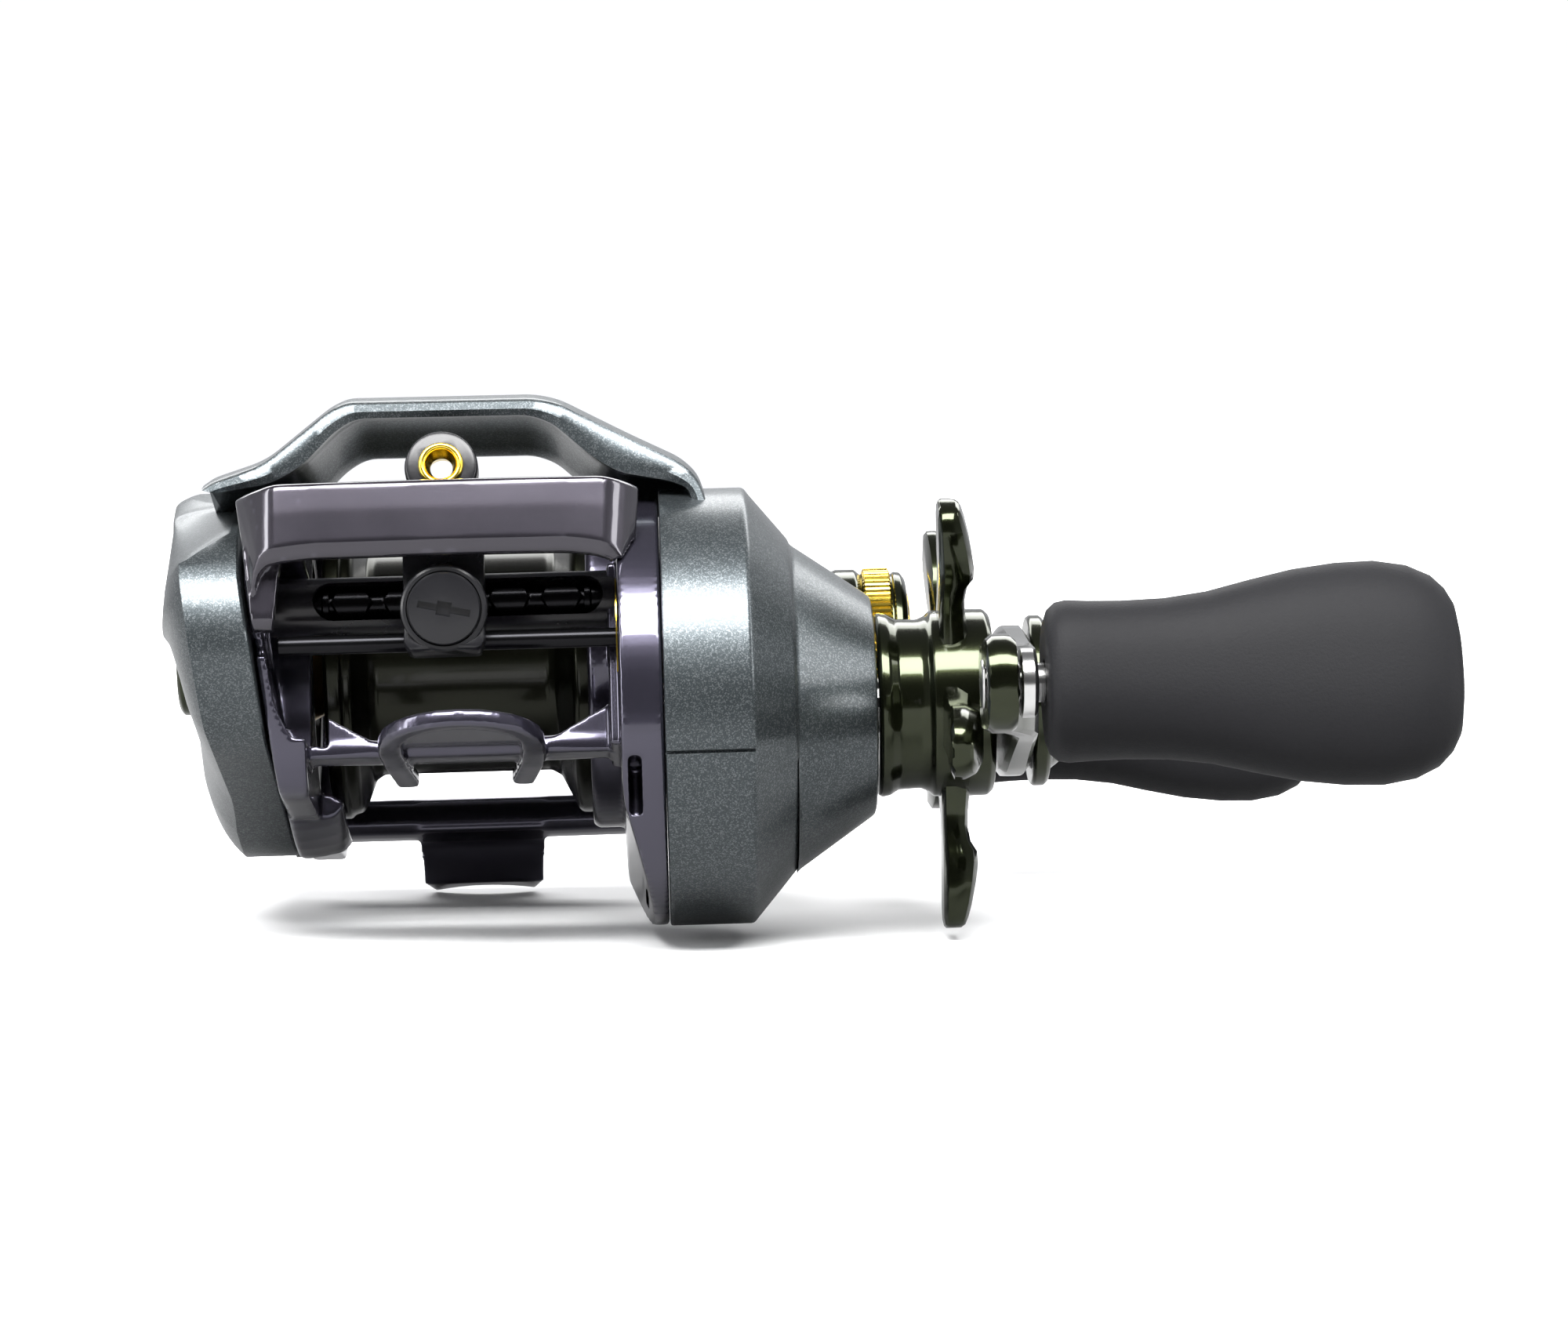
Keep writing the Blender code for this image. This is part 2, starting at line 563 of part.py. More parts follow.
place(carve(turned("star_drag", STAR_HUB, DRIVE, 24, True),
            add=[star_arm(math.radians(63.5 + 360 / STAR_ARMS * k)) for k in range(STAR_ARMS)]),
      "olive_anodised", "star_pivot")
place(hex_nut("star_nut", 5.1, 42.6, 46.0, 3.1, 24), "brass", "star_pivot")

# ---------------------------------------------------------------- handle
# far half of the arm: (distance along, half width, inner x, outer x)
ARM_HALF = [(-49.2, 2.4, 49.6, 52.4), (-48.0, 3.9, 49.5, 52.4), (-45, 4.6, 49.5, 52.4),
            (-40, 4.2, 49.5, 52.4), (-32, 4.0, 50.6, 53.4), (-25, 4.4, 53.7, 56.4),
            (-10, 6.4, 53.7, 56.8), (0, 7.4, 53.7, 56.8)]
stations = ARM_HALF + [(-along, *rest) for along, *rest in ARM_HALF[-2::-1]]
rings = [[(x, *arm_point(along, across))
          for x, across in ((x0, -half), (x1, -half * 0.85), (x1, half * 0.85), (x0, half))]
         for along, half, x0, x1 in stations]
place(carve(loft("handle_arm", rings),
            cut=[rod("shaft_hole", 50, 60, 2.55, DRIVE, 20)]
            + [rod("knob_hole", 45, 60, 1.75, axis, 16) for axis in (NEAR, FAR)]),
      "olive_anodised", "drive_pivot")
place(hex_nut("handle_nut", 4.6, 57.1, 59.0, 2.5, 20), "steel", "drive_pivot")
retainer = [(57.1, 5.2), (57.1, 8.6), (58.6, 8.6), (59.2, 8.0), (60.6, 6.6), (60.6, 0.6),
            (59.8, 0.6), (59.4, 5.2)]
place(turned("nut_retainer", retainer, DRIVE, 24, True), "olive_anodised", "drive_pivot")

KNOB_SHAFT = [(49.2, 2.4), (49.35, 2.4), (49.35, 1.5), (52.6, 1.5), (52.6, 3.15),
              (54.2, 3.15), (54.2, 1.8), (88.5, 1.8)]
# oval sections of the paddle knob: (x, half height in z, half width in y)
KNOB = [(54.9, 5.2, 4.6), (56.2, 6.9, 5.6), (66.0, 7.4, 5.6), (73.0, 8.6, 5.4),
        (80.0, 10.1, 5.4), (86.0, 10.4, 5.2), (90.5, 9.2, 4.6), (92.4, 7.0, 3.6)]
for tag, axis in (("near", NEAR), ("far", FAR)):
    place(turned(f"knob_shaft_{tag}", KNOB_SHAFT, axis, 14), "steel", "drive_pivot")
    rings = [[(x, axis[0] + width * math.cos(a), axis[1] + height * math.sin(a))
              for a in angles(16)] for x, height, width in KNOB]
    knob = carve(loft(f"knob_{tag}", rings), cut=[
        rod("knob_bore", 50, 90.6, 2.1, axis, 16), rod("cap_seat", 89.0, 94, 3.1, axis, 20)])
    place(knob, "rubber", f"knob_{tag}_pivot")
    place(turned(f"knob_cap_{tag}", [(89.4, 2.8), (92.2, 2.8), (92.9, 2.0)], axis, 20),
          "olive_anodised", f"knob_{tag}_pivot")

# ---------------------------------------------------------------- level wind
guard = turned("worm_guard", [(-18.6, 2.05), (-18.6, 2.75), (15.9, 2.75), (15.9, 2.05)],
               WORM, 24, True)
place(carve(guard, cut=[block("guard_slot", (-13.6, WORM[0] - 6, WORM[1] - 1.6),
                              (13.4, WORM[0], WORM[1] + 1.2))]), "black_plastic")
worm = [(-19.4, 0.9), (-18.0, 0.9), (-18.0, 1.5), (-13.4, 1.5), (-13.4, 1.35), (13.4, 1.35),
        (13.4, 1.5), (18.5, 1.5), (18.5, 1.4), (20.6, 1.4)]
place(turned("worm_shaft", worm, WORM, 12), "steel", "worm_pivot")
place(washer("worm_bush_right", 16.1, 18.3, 1.7, 2.75, WORM), "brass")
place(rod("guide_rod", -17.6, 17.6, 0.95, GUIDE_ROD, 14), "steel")

# the pawl's axis points forward and a little down
PAWL_AXIS = (0.0, -0.944, -0.33)
PAWL = (GUIDE_X, -31.0, -3.4)
# eyelet profile: (y, radius)
EYELET = [(-33.5, 1.6), (-33.5, 2.25), (-33.1, 2.25), (-33.1, 1.9), (-29.5, 1.9),
          (-29.5, 1.5), (-31.6, 1.1)]


def pawl_bar(name, start, end, radius, sides):
    """A bar on the pawl's axis, between distances forward of its centre."""
    ends = [tuple(PAWL[k] + d * PAWL_AXIS[k] for k in range(3)) for d in (start, end)]
    return bar(name, *ends, radius, sides)


def eye_turned(name, profile, hollow=False):
    """Turn a profile of (y, radius) about the eyelet's axis, along Y."""
    return loft(name, [[(GUIDE_X + r * math.cos(a), y, EYE_Z + r * math.sin(a))
                        for a in angles(28)] for y, r in profile], hollow)


# carriage with the eyelet's mast
guide = carve(block("line_guide", (GUIDE_X - 4.0, -31.4, -7.8), (GUIDE_X + 4.0, -27.9, 3.2)), add=[
    block("mast", (GUIDE_X - 2.6, -31.4, 2.5), (GUIDE_X + 2.6, -28.6, 7.6)),
    # a fine rod buried in the carriage, across the pawl's centre
    rod("cross_rod", GUIDE_X - 3.4, GUIDE_X + 3.4, 0.1, PAWL[1:], 8),
])
guide = carve(guide, add=[
    eye_turned("eye_holder", [(-32.9, 3.5), (-29.6, 3.5)]),
    pawl_bar("pawl_boss", -2.0, 1.6, 4.1, 24),
], cut=[
    eye_turned("eye_hole", [(-36, 2.05), (-26, 2.05)]),
    pawl_bar("pawl_bore", -1.0, 6, 3.3, 20),
    pawl_bar("pawl_way", 0, -6, 0.85, 12),
    rod("rod_hole", -20, 20, 1.3, GUIDE_ROD, 14),
])
place(guide, "black_plastic", "guide_pivot")
place(eye_turned("line_guide_ring", EYELET, True), "gold", "guide_pivot")
place(pawl_bar("pawl_cap", -0.2, 2.1, 3.05, 24), "black_plastic", "guide_pivot")
place(pawl_bar("pawl", -0.6, -4.8, 0.6, 10), "steel", "guide_pivot")

# ---------------------------------------------------------------- covers
# front band: a curved strip between the two side plates, with a leg at each end
BAND_LEFT, BAND_RIGHT, BAND_STEPS = -21.3, 17.2, 16
PLATE_GAP = 0.3
LEFT_LEG = [(-33.0, 2.5), (-32.6, -5.5), (-29.2, -5.5), (-27.6, 8.0), (-31.5, 8.0)]
RIGHT_LEG = [(-34.6, 1.5), (-33.8, -1.5), (-30.2, -1.5), (-28.2, 8.0), (-32.5, 8.4)]


def band_section(x):
    """The band's section at x: its ends curve back and reach lower."""
    u = (x - (BAND_LEFT + BAND_RIGHT) / 2) / ((BAND_RIGHT - BAND_LEFT) / 2)
    y = -36.4 + 3.2 * abs(u) ** 4
    top = 8.0 + 0.6 * u
    bottom = 1.0 - 0.8 * abs(u) ** 3
    return [(x, y + 2.0, top + 0.2), (x, y, top - 1.2), (x, y - 0.5, (bottom + top) / 2),
            (x, y + 0.3, bottom + 1.0), (x, y + 1.6, bottom), (x, y + 2.2, bottom + 0.8),
            (x, y + 2.6, top - 0.6)]


cover = loft("front_cover", [
    band_section(BAND_LEFT + (BAND_RIGHT - BAND_LEFT) * i / BAND_STEPS)
    for i in range(BAND_STEPS + 1)])
place(carve(
    cover,
    add=[prism("left_leg", LEFT_LEG, lambda z: -20.6 if z > 0 else -18.4, -17.6),
         prism("right_leg", RIGHT_LEG, 15.6, 17.4)],
    cut=[prism("left_gap", shrink(LEFT_PLATE, -PLATE_GAP), -30, LEFT_IN + PLATE_GAP),
         prism("right_gap", shrink(RIGHT_PLATE, -PLATE_GAP), RIGHT_IN - PLATE_GAP, 30)]),
      "frame_gloss")

# hood: an arch over the line guide, outer and inner lines as (x, z)
ARCH_OUT = [(-25.8, 15.8), (-19.5, 17.6), (-12.4, 21.5), (9.0, 22.2), (19.0, 17.9), (24.4, 15.6)]
ARCH_IN = [(-24.4, 15.1), (-18.2, 16.0), (-11.8, 19.7), (8.4, 20.4), (18.2, 16.7), (23.2, 15.3)]
# (y, drop of the outer line); the inner line drops a little less
HOOD_STATIONS = [(-28.5, 2.4), (-25.0, 0.9), (-20.0, 0.0), (-15.0, 0.3), (-10.4, 1.1)]
place(loft("top_hood", [[(x, y, z - drop) for x, z in ARCH_OUT]
                        + [(x, y, z - drop * 0.9) for x, z in ARCH_IN[::-1]]
                        for y, drop in HOOD_STATIONS]), "graphite_paint")

# lock lever of the palm plate
place(block("side_plate_lock", (-18.9, 6.0, -20.4), (-16.8, 8.9, -18.3)),
      "black_plastic", "lock_pivot")
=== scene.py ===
"""A low-profile baitcasting reel, dressed over its CAD pieces.

X runs along the spool axis, from the palm side (-X) to the handle side (+X). The line leaves
towards the front (-Y) and Z is up. Lengths are in millimetres until loft() writes metres; the
stage at the end is in metres. Axes parallel to X are given as (y, z).
"""
import bpy
import bmesh
import json
import math
from mathutils import Vector, Matrix


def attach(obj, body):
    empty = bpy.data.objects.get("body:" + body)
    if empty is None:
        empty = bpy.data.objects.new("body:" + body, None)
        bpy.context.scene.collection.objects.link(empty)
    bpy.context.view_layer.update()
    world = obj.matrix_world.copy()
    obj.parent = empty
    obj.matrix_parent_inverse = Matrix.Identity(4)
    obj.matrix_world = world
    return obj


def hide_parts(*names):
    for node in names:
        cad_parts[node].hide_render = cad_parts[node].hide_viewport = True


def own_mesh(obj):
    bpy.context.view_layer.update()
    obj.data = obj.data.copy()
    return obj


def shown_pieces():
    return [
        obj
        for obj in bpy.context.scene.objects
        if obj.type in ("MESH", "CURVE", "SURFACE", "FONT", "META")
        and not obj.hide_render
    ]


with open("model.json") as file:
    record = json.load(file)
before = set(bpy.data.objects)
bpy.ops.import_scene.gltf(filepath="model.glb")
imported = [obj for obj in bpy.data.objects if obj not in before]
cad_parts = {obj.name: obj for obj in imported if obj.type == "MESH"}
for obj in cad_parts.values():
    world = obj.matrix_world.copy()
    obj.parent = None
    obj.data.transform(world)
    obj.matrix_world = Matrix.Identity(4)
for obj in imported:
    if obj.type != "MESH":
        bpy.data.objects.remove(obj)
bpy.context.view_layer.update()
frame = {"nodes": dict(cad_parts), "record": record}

# ------------------------------------------------------------------ layout
SPOOL = (0.0, 0.0)
DRIVE = (-15.2, -10.3)          # star and handle axis
WORM = (-24.6, -1.1)
GUIDE_ROD = (-28.6, -6.2)
GEAR_LOBE = (6.0, 1.0)          # centre of the gear side's smaller lobe
GEAR_RADIUS = 22.4              # gear cover about the drive axis
FOOT_Z = -17.5
CARRIAGE_X = -1.0               # where the level wind stands
EYE = (CARRIAGE_X, 10.7)        # (x, z) of the line guide's axis
HANDLE_TILT = math.radians(-13)
KNOB_REACH = 45                 # drive axis to knob axis


def seam(z):
    """X of the joint between the frame and the palm plate."""
    return -20.72 - (0.062 if z > 0 else 0.135) * z


def handle_point(x, along, across):
    """A point placed along the handle (towards the near knob) and across it."""
    cos, sin = math.cos(HANDLE_TILT), math.sin(HANDLE_TILT)
    return (x, DRIVE[0] - along * cos + across * sin, DRIVE[1] + along * sin + across * cos)


KNOBS = {"near": handle_point(0, KNOB_REACH, 0)[1:], "far": handle_point(0, -KNOB_REACH, 0)[1:]}


# ------------------------------------------------------------------ shader tools
def set_inputs(tree, node, inputs):
    """Give each input a value, or a link where the value is a socket."""
    for key, value in inputs.items():
        if isinstance(value, bpy.types.NodeSocket):
            tree.links.new(value, node.inputs[key])
        else:
            node.inputs[key].default_value = value


def add(tree, kind, inputs=None, **settings):
    node = tree.nodes.new("ShaderNode" + kind)
    for key, value in settings.items():
        setattr(node, key, value)
    set_inputs(tree, node, inputs or {})
    return node


def remap(tree, source, start=(0.0, 1.0), end=(0.0, 1.0)):
    """Map the range start onto the range end."""
    return add(tree, "MapRange", {0: source, 1: start[0], 2: start[1],
                                  3: end[0], 4: end[1]}).outputs[0]


def mix_colour(tree, factor, first, second):
    """Blend from first (a colour or a socket) to the colour second."""
    if isinstance(first, tuple):
        first = (*first, 1)
    return add(tree, "Mix", {0: factor, 6: first, 7: (*second, 1)}, data_type="RGBA").outputs[2]


def new_material(name):
    material = bpy.data.materials.new(name)
    material.use_nodes = True
    return material, material.node_tree, material.node_tree.nodes["Principled BSDF"]


# ------------------------------------------------------------------ materials
MATERIALS = {}
FLAKE_COLOUR = (0.75, 0.8, 0.82)
FLAKE_SCALE = 9000.0
# Lighter edge colours: partly worn paint, partly a painted highlight along the edges.
WORN_AND_HIGHLIGHT_GREY = (0.2, 0.22, 0.23)
WORN_AND_HIGHLIGHT_VIOLET = (0.2, 0.19, 0.25)


def finish(name, dark, light, metallic, rough, spread, large=60.0, fine=2500.0, bump=0.02,
           rings=None, coat=0.0, coat_rough=0.05, flake=0.0, edge_wear_and_highlight=0.0, edge_wear_and_highlight_colour=None,
           specular=0.5):
    """A layered finish.

    dark, light: ends of the colour drift, whose noise scale is large
    rough, spread: middle and half range of the roughness, which drifts with the colour
    fine, bump: noise scale of the grain and strength of the relief
    rings: wave scale of the turning marks, if any
    flake, wear: share of bright metal flakes, and of edge_wear_and_highlight_colour on the edges, a
    lighter edge colour that is partly worn paint and partly painted highlight
    """
    material, tree, shader = new_material(name)
    coords = add(tree, "TexCoord").outputs["Object"]
    mapped = add(tree, "Mapping", {"Vector": coords}).outputs[0]
    drift = add(tree, "TexNoise", {"Scale": large, "Detail": 5.0, "Roughness": 0.6,
                                   "Vector": mapped}).outputs["Fac"]
    grain = add(tree, "TexNoise", {"Scale": fine, "Detail": 3.0, "Roughness": 0.6,
                                   "Vector": mapped}).outputs["Fac"]
    colour = mix_colour(tree, drift, dark, light)
    if flake:
        cells = add(tree, "TexVoronoi", {"Scale": FLAKE_SCALE, "Vector": coords})
        red = add(tree, "SeparateColor", {0: cells.outputs["Color"]}).outputs[0]
        share = remap(tree, red, start=(0.55, 1.0), end=(0.0, flake))
        colour = mix_colour(tree, share, colour, FLAKE_COLOUR)
    # Lighter colour on sharp edges (pointiness): partly worn paint, partly a painted edge
    # highlight.
    if edge_wear_and_highlight:
        edges = add(tree, "NewGeometry").outputs["Pointiness"]
        share = remap(tree, edges, start=(0.53, 0.62), end=(0.0, edge_wear_and_highlight))
        colour = mix_colour(tree, share, colour, edge_wear_and_highlight_colour)
    height = grain
    if rings:
        wave = add(tree, "TexWave", {"Scale": rings, "Distortion": 1.5, "Detail": 2.0,
                                     "Vector": coords}, bands_direction="X")
        height = add(tree, "Math", {0: wave.outputs["Fac"], 1: 0.6, 2: grain},
                     operation="MULTIPLY_ADD").outputs[0]
    relief = add(tree, "Bump", {"Strength": bump, "Distance": 0.0002, "Height": height})
    set_inputs(tree, shader, {
        "Base Color": colour, "Metallic": metallic, "Specular IOR Level": specular,
        "Roughness": remap(tree, drift, end=(rough - spread, rough + spread)),
        "Normal": relief.outputs[0]})
    if coat:
        set_inputs(tree, shader, {"Coat Weight": coat, "Coat Roughness": coat_rough})
    MATERIALS[name] = material


finish("graphite_paint", dark=(0.040, 0.048, 0.052), light=(0.055, 0.065, 0.070),
       metallic=0.8, rough=0.36, spread=0.04, large=45, bump=0.10, coat=0.3, coat_rough=0.18,
       flake=0.12, edge_wear_and_highlight=0.12, edge_wear_and_highlight_colour=WORN_AND_HIGHLIGHT_GREY)
finish("frame_gloss", dark=(0.050, 0.047, 0.068), light=(0.070, 0.066, 0.092),
       metallic=0.85, rough=0.22, spread=0.04, large=80, bump=0.015, coat=0.6, coat_rough=0.07,
       edge_wear_and_highlight=0.15, edge_wear_and_highlight_colour=WORN_AND_HIGHLIGHT_VIOLET)
finish("cover_gloss", dark=(0.034, 0.031, 0.040), light=(0.050, 0.046, 0.058),
       metallic=0.8, rough=0.24, spread=0.04, large=70, bump=0.008, coat=0.8, coat_rough=0.07,
       edge_wear_and_highlight=0.12, edge_wear_and_highlight_colour=WORN_AND_HIGHLIGHT_VIOLET)
finish("olive_anodised", dark=(0.020, 0.024, 0.011), light=(0.034, 0.040, 0.020),
       metallic=0.95, rough=0.17, spread=0.04, large=90, rings=2200.0, bump=0.01,
       coat=0.4, coat_rough=0.05)
finish("spool_anodised", dark=(0.008, 0.009, 0.005), light=(0.014, 0.015, 0.009),
       metallic=0.9, rough=0.24, spread=0.05, large=90, rings=2600.0, coat=0.15, coat_rough=0.1)
finish("black_plastic", dark=(0.006, 0.006, 0.007), light=(0.012, 0.012, 0.014),
       metallic=0.0, rough=0.26, spread=0.06, large=110, fine=1800, specular=0.4)
finish("gold", dark=(0.82, 0.56, 0.06), light=(0.95, 0.72, 0.12),
       metallic=1.0, rough=0.2, spread=0.06, rings=3000.0)
finish("steel", dark=(0.6, 0.6, 0.59), light=(0.74, 0.74, 0.73),
       metallic=1.0, rough=0.2, spread=0.06, rings=2600.0, bump=0.03)
finish("brass", dark=(0.50, 0.35, 0.14), light=(0.62, 0.46, 0.22),
       metallic=1.0, rough=0.3, spread=0.06, rings=1800.0, bump=0.03)
finish("rubber", dark=(0.0065, 0.0065, 0.0075), light=(0.0105, 0.0105, 0.012),
       metallic=0.0, rough=0.6, spread=0.08, fine=3600, bump=0.16, specular=0.14)
# A copy of the steel finish darkened as painted shade, for the worm and the guide rod deep inside
# the frame.
finish("shade_darkened_steel", dark=(0.008, 0.008, 0.009), light=(0.016, 0.016, 0.018),
       metallic=0.9, rough=0.25, spread=0.06, rings=2400.0)

for node_name, piece in frame["nodes"].items():
    slot = next((part["material_slot"] for part in frame["record"]["subparts"]
                 if part["node"] == node_name), "steel")
    piece.data.materials.clear()
    piece.data.materials.append(MATERIALS[slot])


# ------------------------------------------------------------------ mesh tools
def dress(ob, mat, body, stands=(), smooth=40):
    """Finish a piece: its material, shading, body, and the CAD pieces it stands for."""
    ob.data.materials.clear()
    ob.data.materials.append(MATERIALS[mat])
    ob.data.shade_smooth()
    if smooth:
        ob.data.set_sharp_from_angle(angle=math.radians(smooth))
    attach(ob, body)
    if stands:
        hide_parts(*stands)


def loft(name, rings, closed=False, **looks):
    """Skin equal rings of points, capped unless closed on itself; looks go to dress()."""
    count, total = len(rings[0]), len(rings)
    faces = []
    for j in range(total if closed else total - 1):
        a, b = j * count, ((j + 1) % total) * count
        faces += [(a + i, a + (i + 1) % count, b + (i + 1) % count, b + i) for i in range(count)]
    if not closed:
        faces.append(tuple(range(count))[::-1])
        faces.append(tuple((total - 1) * count + i for i in range(count)))
    mesh = bpy.data.meshes.new(name)
    bm = bmesh.new()
    verts = [bm.verts.new([c * 0.001 for c in point]) for ring in rings for point in ring]
    for face in faces:
        bm.faces.new([verts[i] for i in face])
    bmesh.ops.remove_doubles(bm, verts=bm.verts, dist=1e-7)
    bmesh.ops.recalc_face_normals(bm, faces=bm.faces)
    bm.to_mesh(mesh)
    bm.free()
    ob = bpy.data.objects.new(name, mesh)
    bpy.context.scene.collection.objects.link(ob)
    if looks:
        dress(ob, **looks)
    return ob


def angles(count):
    return [2 * math.pi * i / count for i in range(count)]


def circle(x, radius, centre, count):
    return [(x, centre[0] + radius * math.cos(a), centre[1] + radius * math.sin(a))
            for a in angles(count)]


def squircle(count, power):
    """A unit superellipse: a circle at power 2, squarer as it grows."""
    points = []
    for a in angles(count):
        cos, sin = math.cos(a), math.sin(a)
        k = (abs(cos) ** power + abs(sin) ** power) ** (-1 / power)
        points.append((k * cos, k * sin))
    return points


def soft(poly, radius, closed=False, steps=4):
    """Round the corners of a 2-D polyline with about this radius."""
    out = []
    count = len(poly)
    for i, p in enumerate(poly):
        if not closed and i in (0, count - 1):
            out.append(tuple(p))
            continue
        ends = []
        reach = radius
        for q in (poly[i - 1], poly[(i + 1) % count]):
            side = (q[0] - p[0], q[1] - p[1])
            length = math.hypot(*side)
            reach = min(reach, length * 0.45)
            ends.append((side, length))
        p0, p1 = [(p[0] + side[0] / length * reach, p[1] + side[1] / length * reach)
                  for side, length in ends]
        for step in range(steps + 1):
            t = step / steps
            out.append(tuple((1 - t) ** 2 * p0[j] + 2 * t * (1 - t) * p[j] + t * t * p1[j]
                             for j in (0, 1)))
    return out


def spaced(points, count):
    """The count + 1 evenly spaced points of a polyline."""
    reach = [0.0]
    for a, b in zip(points, points[1:]):
        reach.append(reach[-1] + math.dist(a, b))
    out, k = [], 0
    for i in range(count + 1):
        t = reach[-1] * i / count
        while k < len(reach) - 2 and reach[k + 1] < t:
            k += 1
        share = (t - reach[k]) / (reach[k + 1] - reach[k])
        (ax, ay), (bx, by) = points[k], points[k + 1]
        out.append((ax + share * (bx - ax), ay + share * (by - ay)))
    return out


def hull(discs, samples, count, relaxed=0):
    """Evenly spaced outline round discs of (y, z, radius), relaxed a number of times."""
    points = []
    for a in angles(samples):
        cos, sin = math.cos(a), math.sin(a)
        y, z, radius = max(discs, key=lambda disc: disc[0] * cos + disc[1] * sin + disc[2])
        points.append((y + radius * cos, z + radius * sin))
    start = max(range(samples), key=lambda i: points[i][0])
    points = points[start:] + points[:start]
    points = spaced(points + points[:1], count)[:-1]
    for _ in range(relaxed):
        points = [tuple((points[i - 1][j] + 2 * points[i][j] + points[(i + 1) % count][j]) / 4
                        for j in (0, 1)) for i in range(count)]
    return points


def shrink(outline, inset):
    """Draw an outline in by a distance, or by a function of the point."""
    out = []
    for i, p in enumerate(outline):
        (ax, ay), (bx, by) = outline[i - 1], outline[(i + 1) % len(outline)]
        tx, ty = bx - ax, by - ay
        length = math.hypot(tx, ty)
        d = inset(p) if callable(inset) else inset
        out.append((p[0] - d * ty / length, p[1] + d * tx / length))
    return out


def flat(outline, x):
    """Stand a (y, z) outline at x, a number or a function of z."""
    return [(x(z) if callable(x) else x, y, z) for y, z in outline]


def prism_x(name, outline, stations, **looks):
    return loft(name, [flat(outline, x) for x in stations], **looks)


def prism_y(name, outline, stations):
    return loft(name, [[(x, y, z) for x, z in outline] for y in stations])


def block(low, high):
    (x0, y0, z0), (x1, y1, z1) = low, high
    return prism_x("block", [(y0, z0), (y1, z0), (y1, z1), (y0, z1)], (x0, x1))


def slab(name, outline, low, high, radius):
    """Extrude an outline from low, a function of z, to high, with rounded rims."""
    rims = [(radius * (1 - math.sin(a)), radius * (1 - math.cos(a)))
            for a in (math.pi / 2 * step / 4 for step in range(5))]
    rings = [flat(shrink(outline, s), lambda z: low(z) + c) for s, c in rims]
    rings += [flat(shrink(outline, c), high - s) for s, c in rims]
    return loft(name, rings)


def turn(name, profile, centre=SPOOL, count=96, hollow=True, fillet=0.15, **looks):
    """Turn a profile of (x, radius) about an axis parallel to X."""
    if fillet:
        profile = soft(profile, fillet, hollow)
    rings = [circle(x, radius, centre, count) for x, radius in profile]
    return loft(name, rings, hollow, **looks)


def bore(x0, x1, radius, centre, count):
    """A plain cylinder parallel to X."""
    return turn("bore", [(x0, radius), (x1, radius)], centre, count, hollow=False, fillet=0)


def bar(name, start, direction, profile, count=48, **looks):
    """Turn a profile of (distance, radius) about the unit direction from start."""
    axis = Vector(direction)
    side = axis.cross(Vector((0, 0, 1))).normalized()
    up = axis.cross(side)
    rings = []
    for t, radius in profile:
        middle = Vector(start) + axis * t
        rings.append([middle + side * (radius * math.cos(a)) + up * (radius * math.sin(a))
                      for a in angles(count)])
    return loft(name, rings, **looks)


def rod(name, path, half_width, half_height, count=14, power=4):
    """Sweep a superellipse through the points of a path."""
    rings = []
    for i, p in enumerate(path):
        ahead = (Vector(path[min(len(path) - 1, i + 1)]) - Vector(path[max(0, i - 1)])).normalized()
        side = ahead.cross(Vector((0, 0, 1))).normalized()
        up = side.cross(ahead)
        rings.append([Vector(p) + side * (half_width * a) + up * (half_height * b)
                      for a, b in squircle(count, power)])
    return loft(name, rings)


def bake(ob):
    """Apply the modifiers."""
    depsgraph = bpy.context.evaluated_depsgraph_get()
    mesh = bpy.data.meshes.new_from_object(ob.evaluated_get(depsgraph))
    ob.modifiers.clear()
    ob.data = mesh


def carve(body, plus=(), minus=()):
    """Join and cut helper shapes, in order, and remove them."""
    steps = [(shape, "UNION") for shape in plus] + [(shape, "DIFFERENCE") for shape in minus]
    for shape, operation in steps:
        modifier = body.modifiers.new(operation, "BOOLEAN")
        modifier.operation = operation
        modifier.object = shape
        modifier.solver = "EXACT"
    bake(body)
    for shape, _ in steps:
        bpy.data.objects.remove(shape, do_unlink=True)


def melt(ob, voxel, rounds):
    """Voxel remesh and smooth: casting-like fillets at every edge."""
    remesh = ob.modifiers.new("remesh", "REMESH")
    remesh.mode = "VOXEL"
    remesh.voxel_size = voxel * 0.001
    smooth = ob.modifiers.new("smooth", "SMOOTH")
    smooth.iterations = rounds
    smooth.factor = 0.5
    bake(ob)


def ramp(value, start, end):
    """0 at start, 1 at end, straight between and level beyond."""
    return max(0.0, min(1.0, (value - start) / (end - start)))


# ------------------------------------------------------------------ frame
OUTLINE_POINTS = 150
PALM_WALL = hull([(0, 0, 18.3), (-25.2, -1.4, 6.0), (-22, -16.4, 3.6), (26, -11, 4.0),
                  (20, 3, 5)], 220, OUTLINE_POINTS, relaxed=3)
GEAR_WALL = hull([(*DRIVE, 21.6), (*GEAR_LOBE, 14.4)], 220, OUTLINE_POINTS, relaxed=3)
GEAR_RECESS = hull([(*DRIVE, 19.8), (*GEAR_LOBE, 13.4)], 90, 64)


